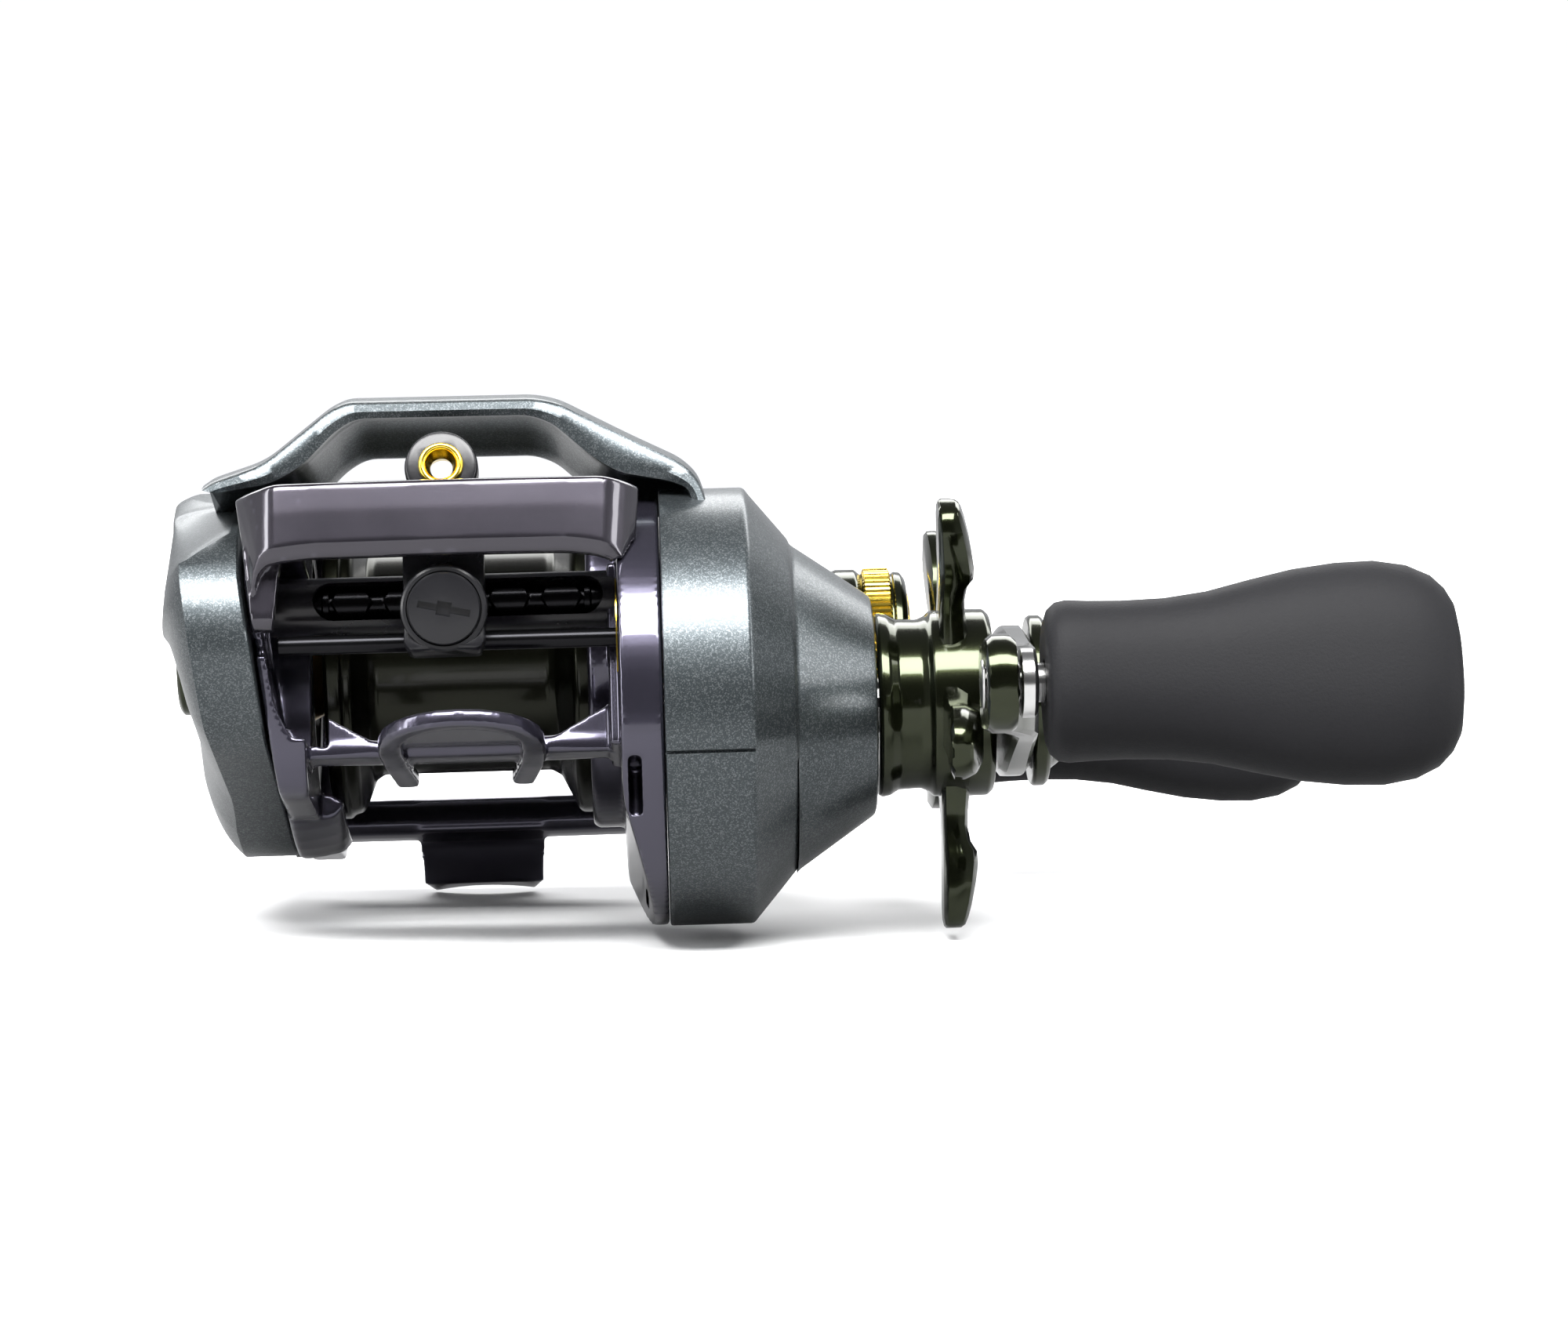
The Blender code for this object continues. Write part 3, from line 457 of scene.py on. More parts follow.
def horseshoe():
    """The bent bar of the front tab, open to the rear."""
    path = [(-5.6, -15.2, -16.7), (-5.9, -18.0, -16.7), (-6.4, -22.0, -16.65),
            (-6.75, -26.0, -16.4)]
    for i in range(1, 18):
        t = math.pi * i / 18
        path.append((0.35 + 7.1 * math.cos(math.pi - t), -27.2 - 6.0 * math.sin(t) ** 0.8,
                     -16.35 + 1.0 * math.sin(t)))
    path += [(7.4, -26.0, -16.4), (7.1, -22.0, -16.65), (6.4, -18.0, -16.7), (5.9, -15.2, -16.7)]
    return rod("horseshoe", path, 1.15, 0.85, count=20, power=9)


def rear_tongue():
    """The rear tab: a sloped tongue with a scooped, narrower end."""
    rings = []
    for i in range(9):
        t = i / 8
        x = -6.9 + 13.8 * t
        scoop = 2.0 * (1 - (2 * t - 1) ** 2)
        tip = x * 0.80
        rings.append([(x, 23.0, -12.8), (x, 23.0, -9.4), (x, 27.5, -9.6),
                      (tip, 31.9 - scoop, FOOT_Z + 1.3), (tip, 32.3 - scoop, FOOT_Z + 0.5),
                      (tip, 31.9 - scoop, FOOT_Z), (x * 0.95, 28.2, FOOT_Z), (x, 26.0, -13.4)])
    return loft("tongue", rings)


def frame_heel():
    """A small heel below the palm-side ring, beside the foot."""
    section = soft([(-18.6, -17.0), (-13.8, -17.2), (-12.4, -18.2), (-13.4, -19.6),
                    (-16.6, -20.2), (-18.2, -20.2)], 0.6, True)
    return loft("heel", [[(x, y, z + 0.012 * y * y) for x, z in section]
                         for y in (-9.0, -7.0, -4.0, -1.0, 2.0, 4.0)])


def frame_parts():
    """What is joined to the palm wall."""
    parts = [
        slab("gear_wall", GEAR_WALL, lambda z: 16.0, 20.25, 0.35),
        rod("front_bar", [(-17.2, -21.2, -15.2), (-8, -21.4, -15.4), (8, -21.4, -15.4),
                          (18.0, -21.2, -15.2)], 2.2, 1.0),
        rod("rear_bar", [(-17.2, 25.0, -11.0), (-6, 25.2, -11.0), (6, 25.2, -11.0),
                         (18.0, 25.0, -11.0)], 2.4, 2.1)]
    # near-triangular webs that join the front bar to both walls
    for x0, x1 in ((-16.4, -7.6), (17.2, 8.2)):
        parts.append(prism_y("web", [(x0, -10.2), (x0, -16.3), (x1, -16.3), (x1, -15.3)],
                             (-23.4, -20.4)))
    return parts + [frame_heel(), horseshoe(), block((-6.0, -31.0, -15.6), (6.8, -21.0, -14.7)),
                    rear_tongue()]


def frame_cuts():
    return [
        # spool opening, bearing seat and gear-side rim
        bore(-30, -14, 17.1, SPOOL, 96),
        bore(15, 17.9, 3.0, SPOOL, 48),
        bore(14, 16.6, 16.9, SPOOL, 96),
        # holes for the drive shaft, the worm and the guide rod
        bore(15, 22, 4.3, DRIVE, 40),
        bore(15, 22, 2.9, WORM, 40),
        bore(-24, -14, 2.9, WORM, 40),
        bore(15, 18.5, 1.2, GUIDE_ROD, 24),
        bore(-24, -14, 1.2, GUIDE_ROD, 24),
        prism_x("gear_recess", GEAR_RECESS, (18.0, 22.0)),
        # upright slots at the rear of each wall
        block((15.0, 16.8, -0.2), (22.0, 18.4, 7.2)),
        block((-24.0, 19.2, -4.0), (-14.0, 20.8, 7.4)),
        # notch under the palm wall, and its upper front planed off
        block((-24.0, 5.6, -24.0), (-16.4, 10.6, -17.8)),
        block((-24.0, -40.0, 14.6), (-14.0, -10.0, 24.0)),
        # the opening widens past the palm-side end of the spool
        prism_y("widening", [(-19.5, -0.3), (-19.3, -3.0), (-17.9, -12.0), (-16.4, -14.8),
                             (-13.0, -15.2), (-13.0, 3.0), (-18.0, 3.0)], (-45.0, -19.0)),
        # window low in the handle-side wall
        prism_y("window", [(10.0, -19.0), (15.7, -19.0), (16.2, -24.0), (19.3, -33.6),
                           (19.0, -37.0), (10.0, -37.0)], (-45.0, 18.0)),
        block((16.65, -40.0, -24.9), (17.9, -29.0, -19.8)),
    ]


def build_frame():
    body = slab("frame_body", PALM_WALL, lambda z: seam(z) + 0.12, -15.0, 0.3)
    parts = frame_parts()
    seat = turn("seat", [(17.0, 5.25), (17.0, 6.5), (20.1, 6.5), (20.1, 5.25)], count=48, fillet=0)
    carve(body, parts, frame_cuts())
    filler = block((14.9, -27.0, -16.6), (17.2, -17.4, 2.0))
    rim = turn("rim", [(14.0, 13.2), (14.0, 16.85), (12.6, 16.9), (12.6, 17.6), (13.2, 18.0),
                       (17.4, 18.0), (17.4, 13.2)], fillet=0.1)
    carve(rim, minus=[block((11.0, 11.0, -20.0), (13.95, 30.0, 20.0)),
                      block((11.0, 17.0, -20.0), (18.0, 30.0, 20.0))])
    carve(body, [seat, rim, filler])
    melt(body, 0.26, rounds=4)
    dress(body, "frame_gloss", "reel_frame", ("frame",), smooth=0)


build_frame()

# thin gold line inlaid along the spool opening of the handle side
loft("inlay_line", [[(15.75 + a, -29.6 - 0.9 * math.sin(math.pi * i / 16) + b, -0.5 - 9.5 * i / 16)
                     for a, b in ((0, 0), (0.14, 0), (0.14, 0.4), (0, 0.4))] for i in range(17)],
     mat="gold", body="reel_frame")

# ------------------------------------------------------------------ palm plate
PALM_EDGE = hull([(2, -1.3, 18.3), (1, 2.2, 16.4), (-20, -3.6, 12.2), (15, -1.0, 12.5)],
                 240, OUTLINE_POINTS * 2, relaxed=4)
SHELL_START = math.radians(42)      # where on the quarter turn the shell's curve begins
SHELL_INSET = 9.6


def crease(y, z):
    """How far from the seam the side wall stays straight before it turns in."""
    front = ramp(-y, 4.0, 12.0)
    if z > 2.0:
        wall = 1.2 + 4.6 * (1 - ramp(z, 2.0, 6.0))
    else:
        wall = 6.1 - 1.6 * ramp(-z, 14.0, 21.0)
    top = ramp(z, 13.0, 16.0)
    return (6.6 * top + wall * (1 - top)) * front + 5.8 * (1 - front)


def shell_ring(share, extra_inset):
    """A ring of the curved shell, from the crease (0) to the end face (1)."""
    turned = SHELL_START + (math.pi / 2 - SHELL_START) * share
    low_sin, low_cos = math.sin(SHELL_START), math.cos(SHELL_START)
    out = (math.sin(turned) - low_sin) / (1 - low_sin)
    inset = SHELL_INSET * (low_cos - math.cos(turned)) / low_cos + extra_inset
    drawn = shrink(PALM_EDGE, lambda p: inset * (1 - 0.84 * ramp(p[1], 5.0, 13.5)))
    ring = []
    for (y, z), (drawn_y, drawn_z) in zip(PALM_EDGE, drawn):
        end = -30.3 + 2.8 * ramp(-z, 1.0, 20.0) + 0.9 * ramp(-y, 4.0, 15.0)
        start = seam(drawn_z) - crease(y, z)
        ring.append((start + (end - start) * out, drawn_y, drawn_z))
    return ring


def build_palm_shell():
    rings = [flat(shrink(PALM_EDGE, inset), lambda z: seam(z) - lift)
             for lift, inset in ((0.22, 0.3), (0.32, 0.12), (0.5, 0.0))]
    rings.append([(seam(z) - crease(y, z) + 0.12, y, z) for y, z in PALM_EDGE])
    rings += [shell_ring((i / 16) ** 0.9, 0.03 if i == 0 else 0) for i in range(17)]
    shell = loft("palm_shell", rings)
    carve(shell, minus=[
        turn("pocket", [(-27.6, 8.6), (-24.6, 10.0), (-24.0, 14.6), (-10, 14.6)],
             hollow=False, fillet=0),
        bore(-32, -27, 5.45, SPOOL, 64),
        block((-23.2, 5.4, -24.0), (-14.0, 10.8, -17.2))])
    dress(shell, "graphite_paint", "palm_plate", ("palm_side_plate",), smooth=28)


build_palm_shell()
turn("brake_dial_cap", [(-24.9, 1.8), (-24.9, 2.7), (-27.5, 2.7), (-28.3, 5.0), (-29.8, 5.0),
                        (-30.2, 4.5), (-30.2, 2.4), (-29.4, 1.8)], count=72, fillet=0.2,
     mat="olive_anodised", body="brake_dial", stands=("brake_dial",))
turn("brake_drum", [(-27.2, 3.0), (-27.2, 8.0), (-24.3, 9.6), (-23.7, 14.2), (-16.4, 14.2),
                    (-16.4, 11.6), (-22.2, 11.6), (-22.8, 8.2), (-25.2, 7.2), (-25.2, 3.0)],
     fillet=0.25, mat="black_plastic", body="palm_plate", stands=("brake_housing",))

# ------------------------------------------------------------------ spool
LIP = 11.0      # the flanges are measured from x = -LIP and x = +LIP
turn("spool_body", [
    (-LIP - 3.2, 16.0), (-LIP - 2.9, 16.3), (-LIP - 1.6, 16.3), (-LIP - 1.3, 15.9),
    (-LIP - 0.5, 15.7), (-LIP - 0.1, 15.2), (-LIP + 1.0, 12.4), (-LIP + 1.9, 11.8),
    (LIP - 2.6, 11.8), (LIP - 1.6, 12.4), (LIP - 0.5, 14.6), (LIP + 0.1, 15.9),
    (LIP + 0.6, 16.3), (LIP + 1.9, 16.3), (LIP + 2.4, 16.0), (LIP + 2.4, 14.9),
    (LIP + 1.0, 14.7), (LIP - 2.0, 10.2), (3.0, 10.2), (3.0, 1.9), (-3.0, 1.9), (-3.0, 10.2),
    (-LIP + 2.0, 10.2), (-LIP - 1.0, 14.7), (-LIP - 3.0, 14.9)],
     count=128, fillet=0.3, mat="spool_anodised", body="spool", stands=("spool",))
turn("brake_wheel", [(-20.4, 1.75), (-20.4, 6.2), (-19.4, 6.6), (-19.4, 10.9), (-17.6, 10.9),
                     (-17.6, 6.6), (-14.6, 5.0), (-14.6, 1.75)],
     fillet=0.2, mat="brass", body="spool", stands=("brake_rotor",))


# ------------------------------------------------------------------ thumb bar
def build_thumb_bar():
    """A bar behind the spool, dished along its top and ribbed across its middle."""
    section = soft([(17.6, 5.4), (18.4, 8.8), (20.4, 10.2), (23.4, 9.6), (24.6, 7.0),
                    (23.6, 4.4), (20.0, 3.4)], 1.0, True, 5)
    rings = []
    for i in range(61):
        x = -14.6 + 30.0 * i / 60
        u = (x - 0.4) / 15.0
        rib = 0.16 if (i % 4 in (1, 2) and abs(u) < 0.62) else 0.0
        pinch = max(0.0, abs(u) - 0.97) * 14
        dish = 1.2 * (1 - u * u) * 0.35
        rings.append([(x, y + (pinch if y < 21 else -pinch),
                       z - (dish if z > 7 else 0) + (rib if z > 8.4 else 0)) for y, z in section])
    loft("thumb_rest", rings, mat="graphite_paint", body="thumb_bar", stands=("thumb_bar",))


build_thumb_bar()

# ------------------------------------------------------------------ gear side plate
GEAR_POINTS = 192
GROOVE_Z = -19.8
# (x, inset) of the outline from the frame side out to the face
GEAR_RIM = [(20.3, 0.3), (20.4, 0.06), (20.6, 0.0), (20.9, 0.0), (28.5, 0.0), (28.75, 0.06),
            (28.95, 0.2), (29.15, 0.46), (32.9, 5.0), (33.1, 5.25), (33.25, 5.55)]
# (x, radius) of the cone about the drive axis, then of its bore
GEAR_CONE = [(33.27, 16.75), (33.4, 16.55), (33.7, 16.3), (40.9, 11.35), (41.25, 11.05),
             (41.4, 10.6), (41.4, 5.2), (39.6, 5.2), (39.4, 5.4), (39.4, 8.6), (31.5, 8.6)]
# (x, inset) of the inside, back to the frame side
GEAR_INSIDE = [(31.3, 6.2), (27.8, 2.3), (20.3, 2.0)]


def planed(y, z):
    """How far the lower front of the band is planed away below the crease."""
    depth = 0.30 * max(0.0, min(1.0, (-19.4 - z) / 0.3)) + 0.05 * max(0.0, -19.7 - z)
    return depth * max(0.0, min(1.0, (6.0 - y) / 20.0))


def gear_ring(x, inset, cut=True):
    """The hull of two discs, drawn in by inset and sampled by angle about the drive axis."""
    lobe_y, lobe_z = GEAR_LOBE[0] - DRIVE[0], GEAR_LOBE[1] - DRIVE[1]
    support = [(t, max(GEAR_RADIUS - inset,
                       lobe_y * math.cos(t) + lobe_z * math.sin(t) + 15.0 - inset))
               for t in angles(480)]
    ring = []
    for a in angles(GEAR_POINTS):
        radius = min(reach / c for c, reach in ((math.cos(t - a), h) for t, h in support)
                     if c > 0.2)
        if cut:
            radius -= planed(DRIVE[0] + radius * math.cos(a), DRIVE[1] + radius * math.sin(a))
        ring.append((x, DRIVE[0] + radius * math.cos(a), DRIVE[1] + radius * math.sin(a)))
    return ring


def build_gear_cover():
    rings = [gear_ring(x, inset) for x, inset in GEAR_RIM]
    rings += [circle(x, radius, DRIVE, GEAR_POINTS) for x, radius in GEAR_CONE]
    rings += [gear_ring(x, inset, cut=False) for x, inset in GEAR_INSIDE]
    cover = loft("gear_cover", rings, closed=True)
    groove_end = DRIVE[0] - math.sqrt(GEAR_RADIUS ** 2 - (GROOVE_Z - DRIVE[1]) ** 2) + 0.62
    collar = turn("collar", [
        (31.0, 9.7), (35.6, 9.7), (36.6, 9.3), (37.2, 8.9), (37.2, 6.8), (40.9, 6.8),
        (40.9, 3.9), (36.4, 3.9), (33.6, 3.4), (31.0, 3.4)], fillet=0)
    carve(cover, [collar], [
        turn("cap_room", [(37.6, 7.0), (37.6, 9.0), (44.0, 9.0), (44.0, 7.0)], fillet=0),
        bore(30.0, 45.0, 3.4, SPOOL, 48),
        block((20.0, -41.0, -19.95), (28.95, groove_end, -19.68)),
        block((20.0, -22.5, -34.0), (22.4, -20.4, -31.4)),
        bar("screw_hole", (33.2, 12.0, 2.0), (1, 0, 0), [(-0.6, 1.95), (3, 1.95)])])
    dress(cover, "graphite_paint", "reel_frame", ("gear_side_plate",), smooth=24)


build_gear_cover()

# ------------------------------------------------------------------ cast control
turn("cast_cap_shell", [
    (38.0, 7.3), (38.0, 8.05), (38.6, 8.35), (40.6, 8.35), (41.0, 8.0), (41.3, 7.75),
    (44.5, 7.75), (44.7, 8.0), (45.4, 7.9), (45.9, 7.2), (46.0, 6.4), (45.7, 6.0),
    (45.7, 1.2), (41.2, 1.2), (41.2, 7.3)],
     count=120, mat="olive_anodised", body="cast_cap", stands=("cast_control_cap",))


def build_knurl_ring():
    teeth = 72
    tooth = (0.0, 0.2, 0.28, 0.2)
    # (x, radius, whether the tooth is added)
    section = [(41.4, 7.85, 0), (41.4, 8.0, 0), (41.6, 8.12, 1), (44.1, 8.12, 1),
               (44.3, 8.0, 0), (44.3, 7.85, 0)]
    rings = []
    for i, a in enumerate(angles(teeth * len(tooth))):
        rise = tooth[i % len(tooth)]
        rings.append([(x, (radius + rise * cut) * math.cos(a), (radius + rise * cut) * math.sin(a))
                      for x, radius, cut in section])
    loft("cast_knurl_ring", rings, closed=True, mat="gold", body="cast_cap",
         stands=("cast_control_ring",), smooth=25)


build_knurl_ring()
turn("cast_end_disc", [(45.75, 0.3), (45.75, 5.9), (46.1, 5.9), (46.2, 5.6), (46.2, 0.3)],
     fillet=0.08, mat="gold", body="cast_cap")

# ------------------------------------------------------------------ star drag
# stations of an arm: radius, half width, inner x, outer x
STAR_ARM = [
    (6.0, 4.4, 47.9, 51.0), (8.5, 3.6, 47.9, 50.9), (11.0, 2.9, 47.95, 50.6),
    (12.6, 2.75, 47.95, 50.5), (14.2, 2.8, 47.95, 50.75), (15.2, 3.1, 47.95, 51.35),
    (16.4, 3.35, 47.9, 51.4), (18.4, 3.4, 47.85, 51.1), (20.6, 3.1, 47.8, 50.6),
    (21.8, 2.5, 47.8, 50.25), (22.5, 1.7, 47.9, 49.95), (22.75, 1.0, 48.1, 49.6)]


def star_arm(angle):
    """One arm, narrower across its outer face."""
    cos, sin = math.cos(angle), math.sin(angle)
    rings = []
    for radius, half_width, x0, x1 in STAR_ARM:
        ring = []
        for a, b in squircle(20, 8):
            across = half_width * a * (1.0 - 0.22 * max(0.0, b))
            ring.append(((x0 + x1) / 2 + (x1 - x0) / 2 * b,
                         DRIVE[0] + radius * cos - across * sin,
                         DRIVE[1] + radius * sin + across * cos))
        rings.append(ring)
    return loft("arm", rings)


star = turn("star_wheel", [
    (41.7, 5.7), (41.7, 9.1), (42.1, 9.35), (42.9, 9.2), (43.8, 8.65), (46.0, 8.55), (46.8, 8.9),
    (47.3, 9.4), (50.0, 9.5), (52.7, 9.45), (53.3, 8.9), (53.3, 3.1), (48.0, 3.1), (48.0, 5.7)],
            DRIVE, count=120, fillet=0.2)
carve(star, [star_arm(math.radians(63.5 + 72 * k)) for k in range(5)])
dress(star, "olive_anodised", "star", ("star_drag",), smooth=30)

# ------------------------------------------------------------------ handle
# stations of one half: distance from the drive axis, half width, inner x, outer x
HALF_HANDLE = [
    (0, 7.6, 53.7, 56.8), (4, 7.5, 53.7, 56.8), (8, 6.9, 53.7, 56.7), (14, 5.9, 53.7, 56.5),
    (20, 5.0, 53.7, 56.3), (24.5, 4.5, 53.65, 56.1), (27, 4.3, 53.0, 55.5),
    (30, 4.1, 51.7, 54.3), (32.5, 4.0, 50.6, 53.2), (35, 4.0, 49.8, 52.5),
    (38, 4.15, 49.5, 52.4), (42, 4.45, 49.5, 52.4), (45, 4.55, 49.5, 52.4),
    (47, 4.15, 49.5, 52.4), (48.4, 3.2, 49.5, 52.4), (49.2, 1.9, 49.55, 52.35),
    (49.5, 0.8, 49.7, 52.2)]


def build_handle():
    stations = [(-along, *rest) for along, *rest in HALF_HANDLE[::-1]] + HALF_HANDLE[1:]
    arm = loft("handle_bar", [
        [handle_point((x0 + x1) / 2 + (x1 - x0) / 2 * b, along, half_width * a)
         for a, b in squircle(24, 7)] for along, half_width, x0, x1 in stations])
    holes = [bore(50, 60, 2.6, DRIVE, 48)]
    holes += [bore(45, 60, 1.75, centre, 32) for centre in KNOBS.values()]
    # lightening holes: start x, distance along the arm, depth, radius
    for x, along, depth, radius in ((50, 17, 12, 2.6), (50, -17, 12, 2.6),
                                    (46, 36, 14, 1.9), (46, -36, 14, 1.9)):
        holes.append(bar("hole", handle_point(x, along, 0), (1, 0, 0),
                         [(0, radius), (depth, radius)], 40))
    carve(arm, minus=holes)
    dress(arm, "olive_anodised", "drive", ("handle_arm",), smooth=30)


build_handle()
turn("retainer_disc", [
    (57.1, 5.2), (57.1, 8.4), (57.4, 8.65), (58.4, 8.65), (58.8, 8.3), (59.1, 7.0), (59.9, 6.4),
    (60.5, 5.8), (60.6, 5.0), (60.6, 0.6), (59.8, 0.6), (59.5, 5.2)],
     DRIVE, mat="olive_anodised", body="drive", stands=("nut_retainer",))

# ------------------------------------------------------------------ knobs
# stations of the paddle: x, half height, half width
PADDLE = [
    (54.95, 4.2, 3.9), (55.0, 5.6, 5.0), (55.3, 6.5, 5.6), (56.0, 7.15, 5.95), (57.0, 7.35, 6.0),
    (59.0, 7.25, 5.8), (62.0, 7.2, 5.6), (66.0, 7.35, 5.4), (70.0, 7.9, 5.35), (74.0, 8.9, 5.4),
    (78.0, 9.8, 5.45), (82.0, 10.3, 5.5), (85.5, 10.4, 5.5), (88.5, 9.9, 5.3), (90.6, 8.9, 4.9),
    (91.8, 7.7, 4.4), (92.5, 6.4, 3.9), (92.75, 4.6, 3.4), (92.75, 3.3, 3.25)]


def build_knob(tag, centre):
    """A post, a flattened paddle flaring to its outer end, and the cap in that end."""
    turn(f"knob_post_{tag}", [
        (49.15, 0.5), (49.15, 2.1), (49.35, 2.3), (49.4, 1.6), (52.6, 1.6), (52.65, 3.0),
        (52.8, 3.2), (53.9, 3.2), (54.2, 2.9), (54.25, 1.8), (88.5, 1.8)],
         centre, count=72, hollow=False, fillet=0.08,
         mat="steel", body="drive", stands=(f"knob_shaft_{tag}",))
    paddle = loft(f"paddle_{tag}", [
        [(x, centre[0] + half_width * a, centre[1] + half_height * b)
         for a, b in squircle(48, 2.5)] for x, half_height, half_width in PADDLE])
    carve(paddle, minus=[bore(50, 90.6, 2.15, centre, 32), bore(89.0, 94, 3.1, centre, 48)])
    dress(paddle, "rubber", f"knob_{tag}", (f"knob_{tag}",), smooth=38)
    turn(f"paddle_cap_{tag}", [(89.4, 0.3), (89.4, 2.85), (92.0, 2.85), (92.6, 2.6), (92.8, 1.9),
                               (92.5, 1.5), (92.5, 0.3)],
         centre, count=64, hollow=False, fillet=0.12,
         mat="olive_anodised", body=f"knob_{tag}", stands=(f"knob_cap_{tag}",))


for knob_tag, knob_centre in KNOBS.items():
    build_knob(knob_tag, knob_centre)


# ------------------------------------------------------------------ worm and guide rod
def build_worm_cover():
    """A tube round the worm with a long round-ended slot in its front."""
    cover = turn("worm_cover", [(-18.6, 2.1), (-18.6, 2.88), (15.9, 2.88), (15.9, 2.1)],
                 WORM, count=72, fillet=0.1)
    slot_radius = 1.95
    stadium = [((-12.2 if math.cos(a) < 0 else 12.6) + slot_radius * math.cos(a),
                WORM[1] - 0.1 + slot_radius * math.sin(a)) for a in angles(40)]
    carve(cover, minus=[prism_y("slot", stadium, (WORM[0] - 6, WORM[0]))])
    dress(cover, "black_plastic", "reel_frame", ("worm_guard",), smooth=30)


def build_worm():
    """A shaft with two crossed helical grooves."""
    half_length, steps, points = 13.2, 260, 56
    pitch, radius, groove = 5.2, 1.72, 0.5
    rings = []
    for i in range(steps + 1):
        x = -half_length + 2 * half_length * i / steps
        ring = []
        for t in angles(points):
            depth = 0.0
            if abs(x) < 12.6:
                for hand in (1, -1):
                    turned = math.remainder(t * hand - 2 * math.pi * x / pitch, 2 * math.pi)
                    off = abs(turned) / math.pi * (pitch / 2)
                    depth = max(depth, min(1.0, max(0.0, (0.62 - off) / 0.14)))
            r = radius - groove * depth
            ring.append((x, WORM[0] + r * math.cos(t), WORM[1] + r * math.sin(t)))
        rings.append(ring)
    # (distance beyond the grooved length, radius) of both journals
    palm_end = [(-6.2, 0.8), (-6.1, 0.9), (-4.8, 0.9), (-4.7, 1.5), (-0.2, 1.5), (-0.1, 1.6)]
    gear_end = [(0.1, 1.6), (0.2, 1.5), (5.3, 1.5), (5.35, 1.4), (7.3, 1.4), (7.4, 1.3)]
    rings = ([circle(-half_length + d, r, WORM, points) for d, r in palm_end] + rings
             + [circle(half_length + d, r, WORM, points) for d, r in gear_end])
    # The worm takes the steel darkened as painted shade.
    loft("worm_screw", rings, mat="shade_darkened_steel", body="worm", stands=("worm_shaft",), smooth=35)


build_worm_cover()
build_worm()
# The guide rod takes the steel darkened as painted shade.
bar("guide_bar", (-17.5, *GUIDE_ROD), (1, 0, 0),
    [(0, 0.8), (0.15, 0.95), (34.85, 0.95), (35.0, 0.8)], 40,
    mat="shade_darkened_steel", body="reel_frame", stands=("guide_rod",))

# ------------------------------------------------------------------ level wind
PAWL_AXIS = Vector((0.03, -0.944, -0.33)).normalized()
PAWL = Vector((CARRIAGE_X, -31.0, -3.4))


def turn_y(name, profile, count, hollow, fillet, **looks):
    """Turn a profile of (y, radius) about the eyelet's axis."""
    rings = [[(EYE[0] + radius * math.cos(a), y, EYE[1] + radius * math.sin(a))
              for a in angles(count)] for y, radius in soft(profile, fillet, hollow)]
    return loft(name, rings, hollow, **looks)


def eye_hole():
    return loft("eye_hole", [[(EYE[0] + 2.05 * math.cos(a), y, EYE[1] + 2.05 * math.sin(a))
                              for a in angles(64)] for y in (-36, -26)])


def rounded_box(name, half_x, y_range, z_range, radius):
    """A box about the carriage's middle with four edges rounded, and both Y faces eased."""
    middle_z = (z_range[0] + z_range[1]) / 2
    half_z = (z_range[1] - z_range[0]) / 2
    section = []
    for a in angles(32):
        cos, sin = math.cos(a), math.sin(a)
        section.append(((half_x - radius) * (1 if cos > 0 else -1) + radius * cos,
                        (half_z - radius) * (1 if sin > 0 else -1) + radius * sin))
    y0, y1 = y_range
    return loft(name, [[(CARRIAGE_X + x * (1 - d / half_x), y, middle_z + z * (1 - d / half_z))
                        for x, z in section]
                       for y, d in ((y0, 0.35), (y0 + 0.12, 0.1), (y0 + 0.35, 0.0),
                                    (y1 - 0.35, 0.0), (y1 - 0.12, 0.1), (y1, 0.35))])


def build_carriage():
    carriage = rounded_box("carriage", 4.0, (-31.3, -27.9), (-7.7, 3.3), 1.1)
    carve(carriage, [
        rounded_box("mast", 2.7, (-31.2, -28.7), (2.2, 9.0), 0.8),
        bar("boss", PAWL - PAWL_AXIS * 2.0, PAWL_AXIS,
            [(0, 4.3), (3.2, 4.3), (3.5, 4.2), (3.62, 4.0)], 72),
        turn_y("holder", [(-32.9, 3.0), (-32.75, 3.5), (-32.2, 3.62), (-30.0, 3.62),
                          (-29.6, 3.3)], 72, hollow=False, fillet=0.15),
    ], [
        eye_hole(),
        bar("pawl_bore", PAWL - PAWL_AXIS, PAWL_AXIS, [(0, 3.72), (7, 3.72)], 72),
        bar("pawl_hole", PAWL, -PAWL_AXIS, [(0, 0.85), (6, 0.85)], 24),
        bar("rod_hole", (-20, *GUIDE_ROD), (1, 0, 0), [(0, 1.25), (40, 1.25)], 40),
    ])
    dress(carriage, "black_plastic", "level_wind", ("line_guide",), smooth=30)


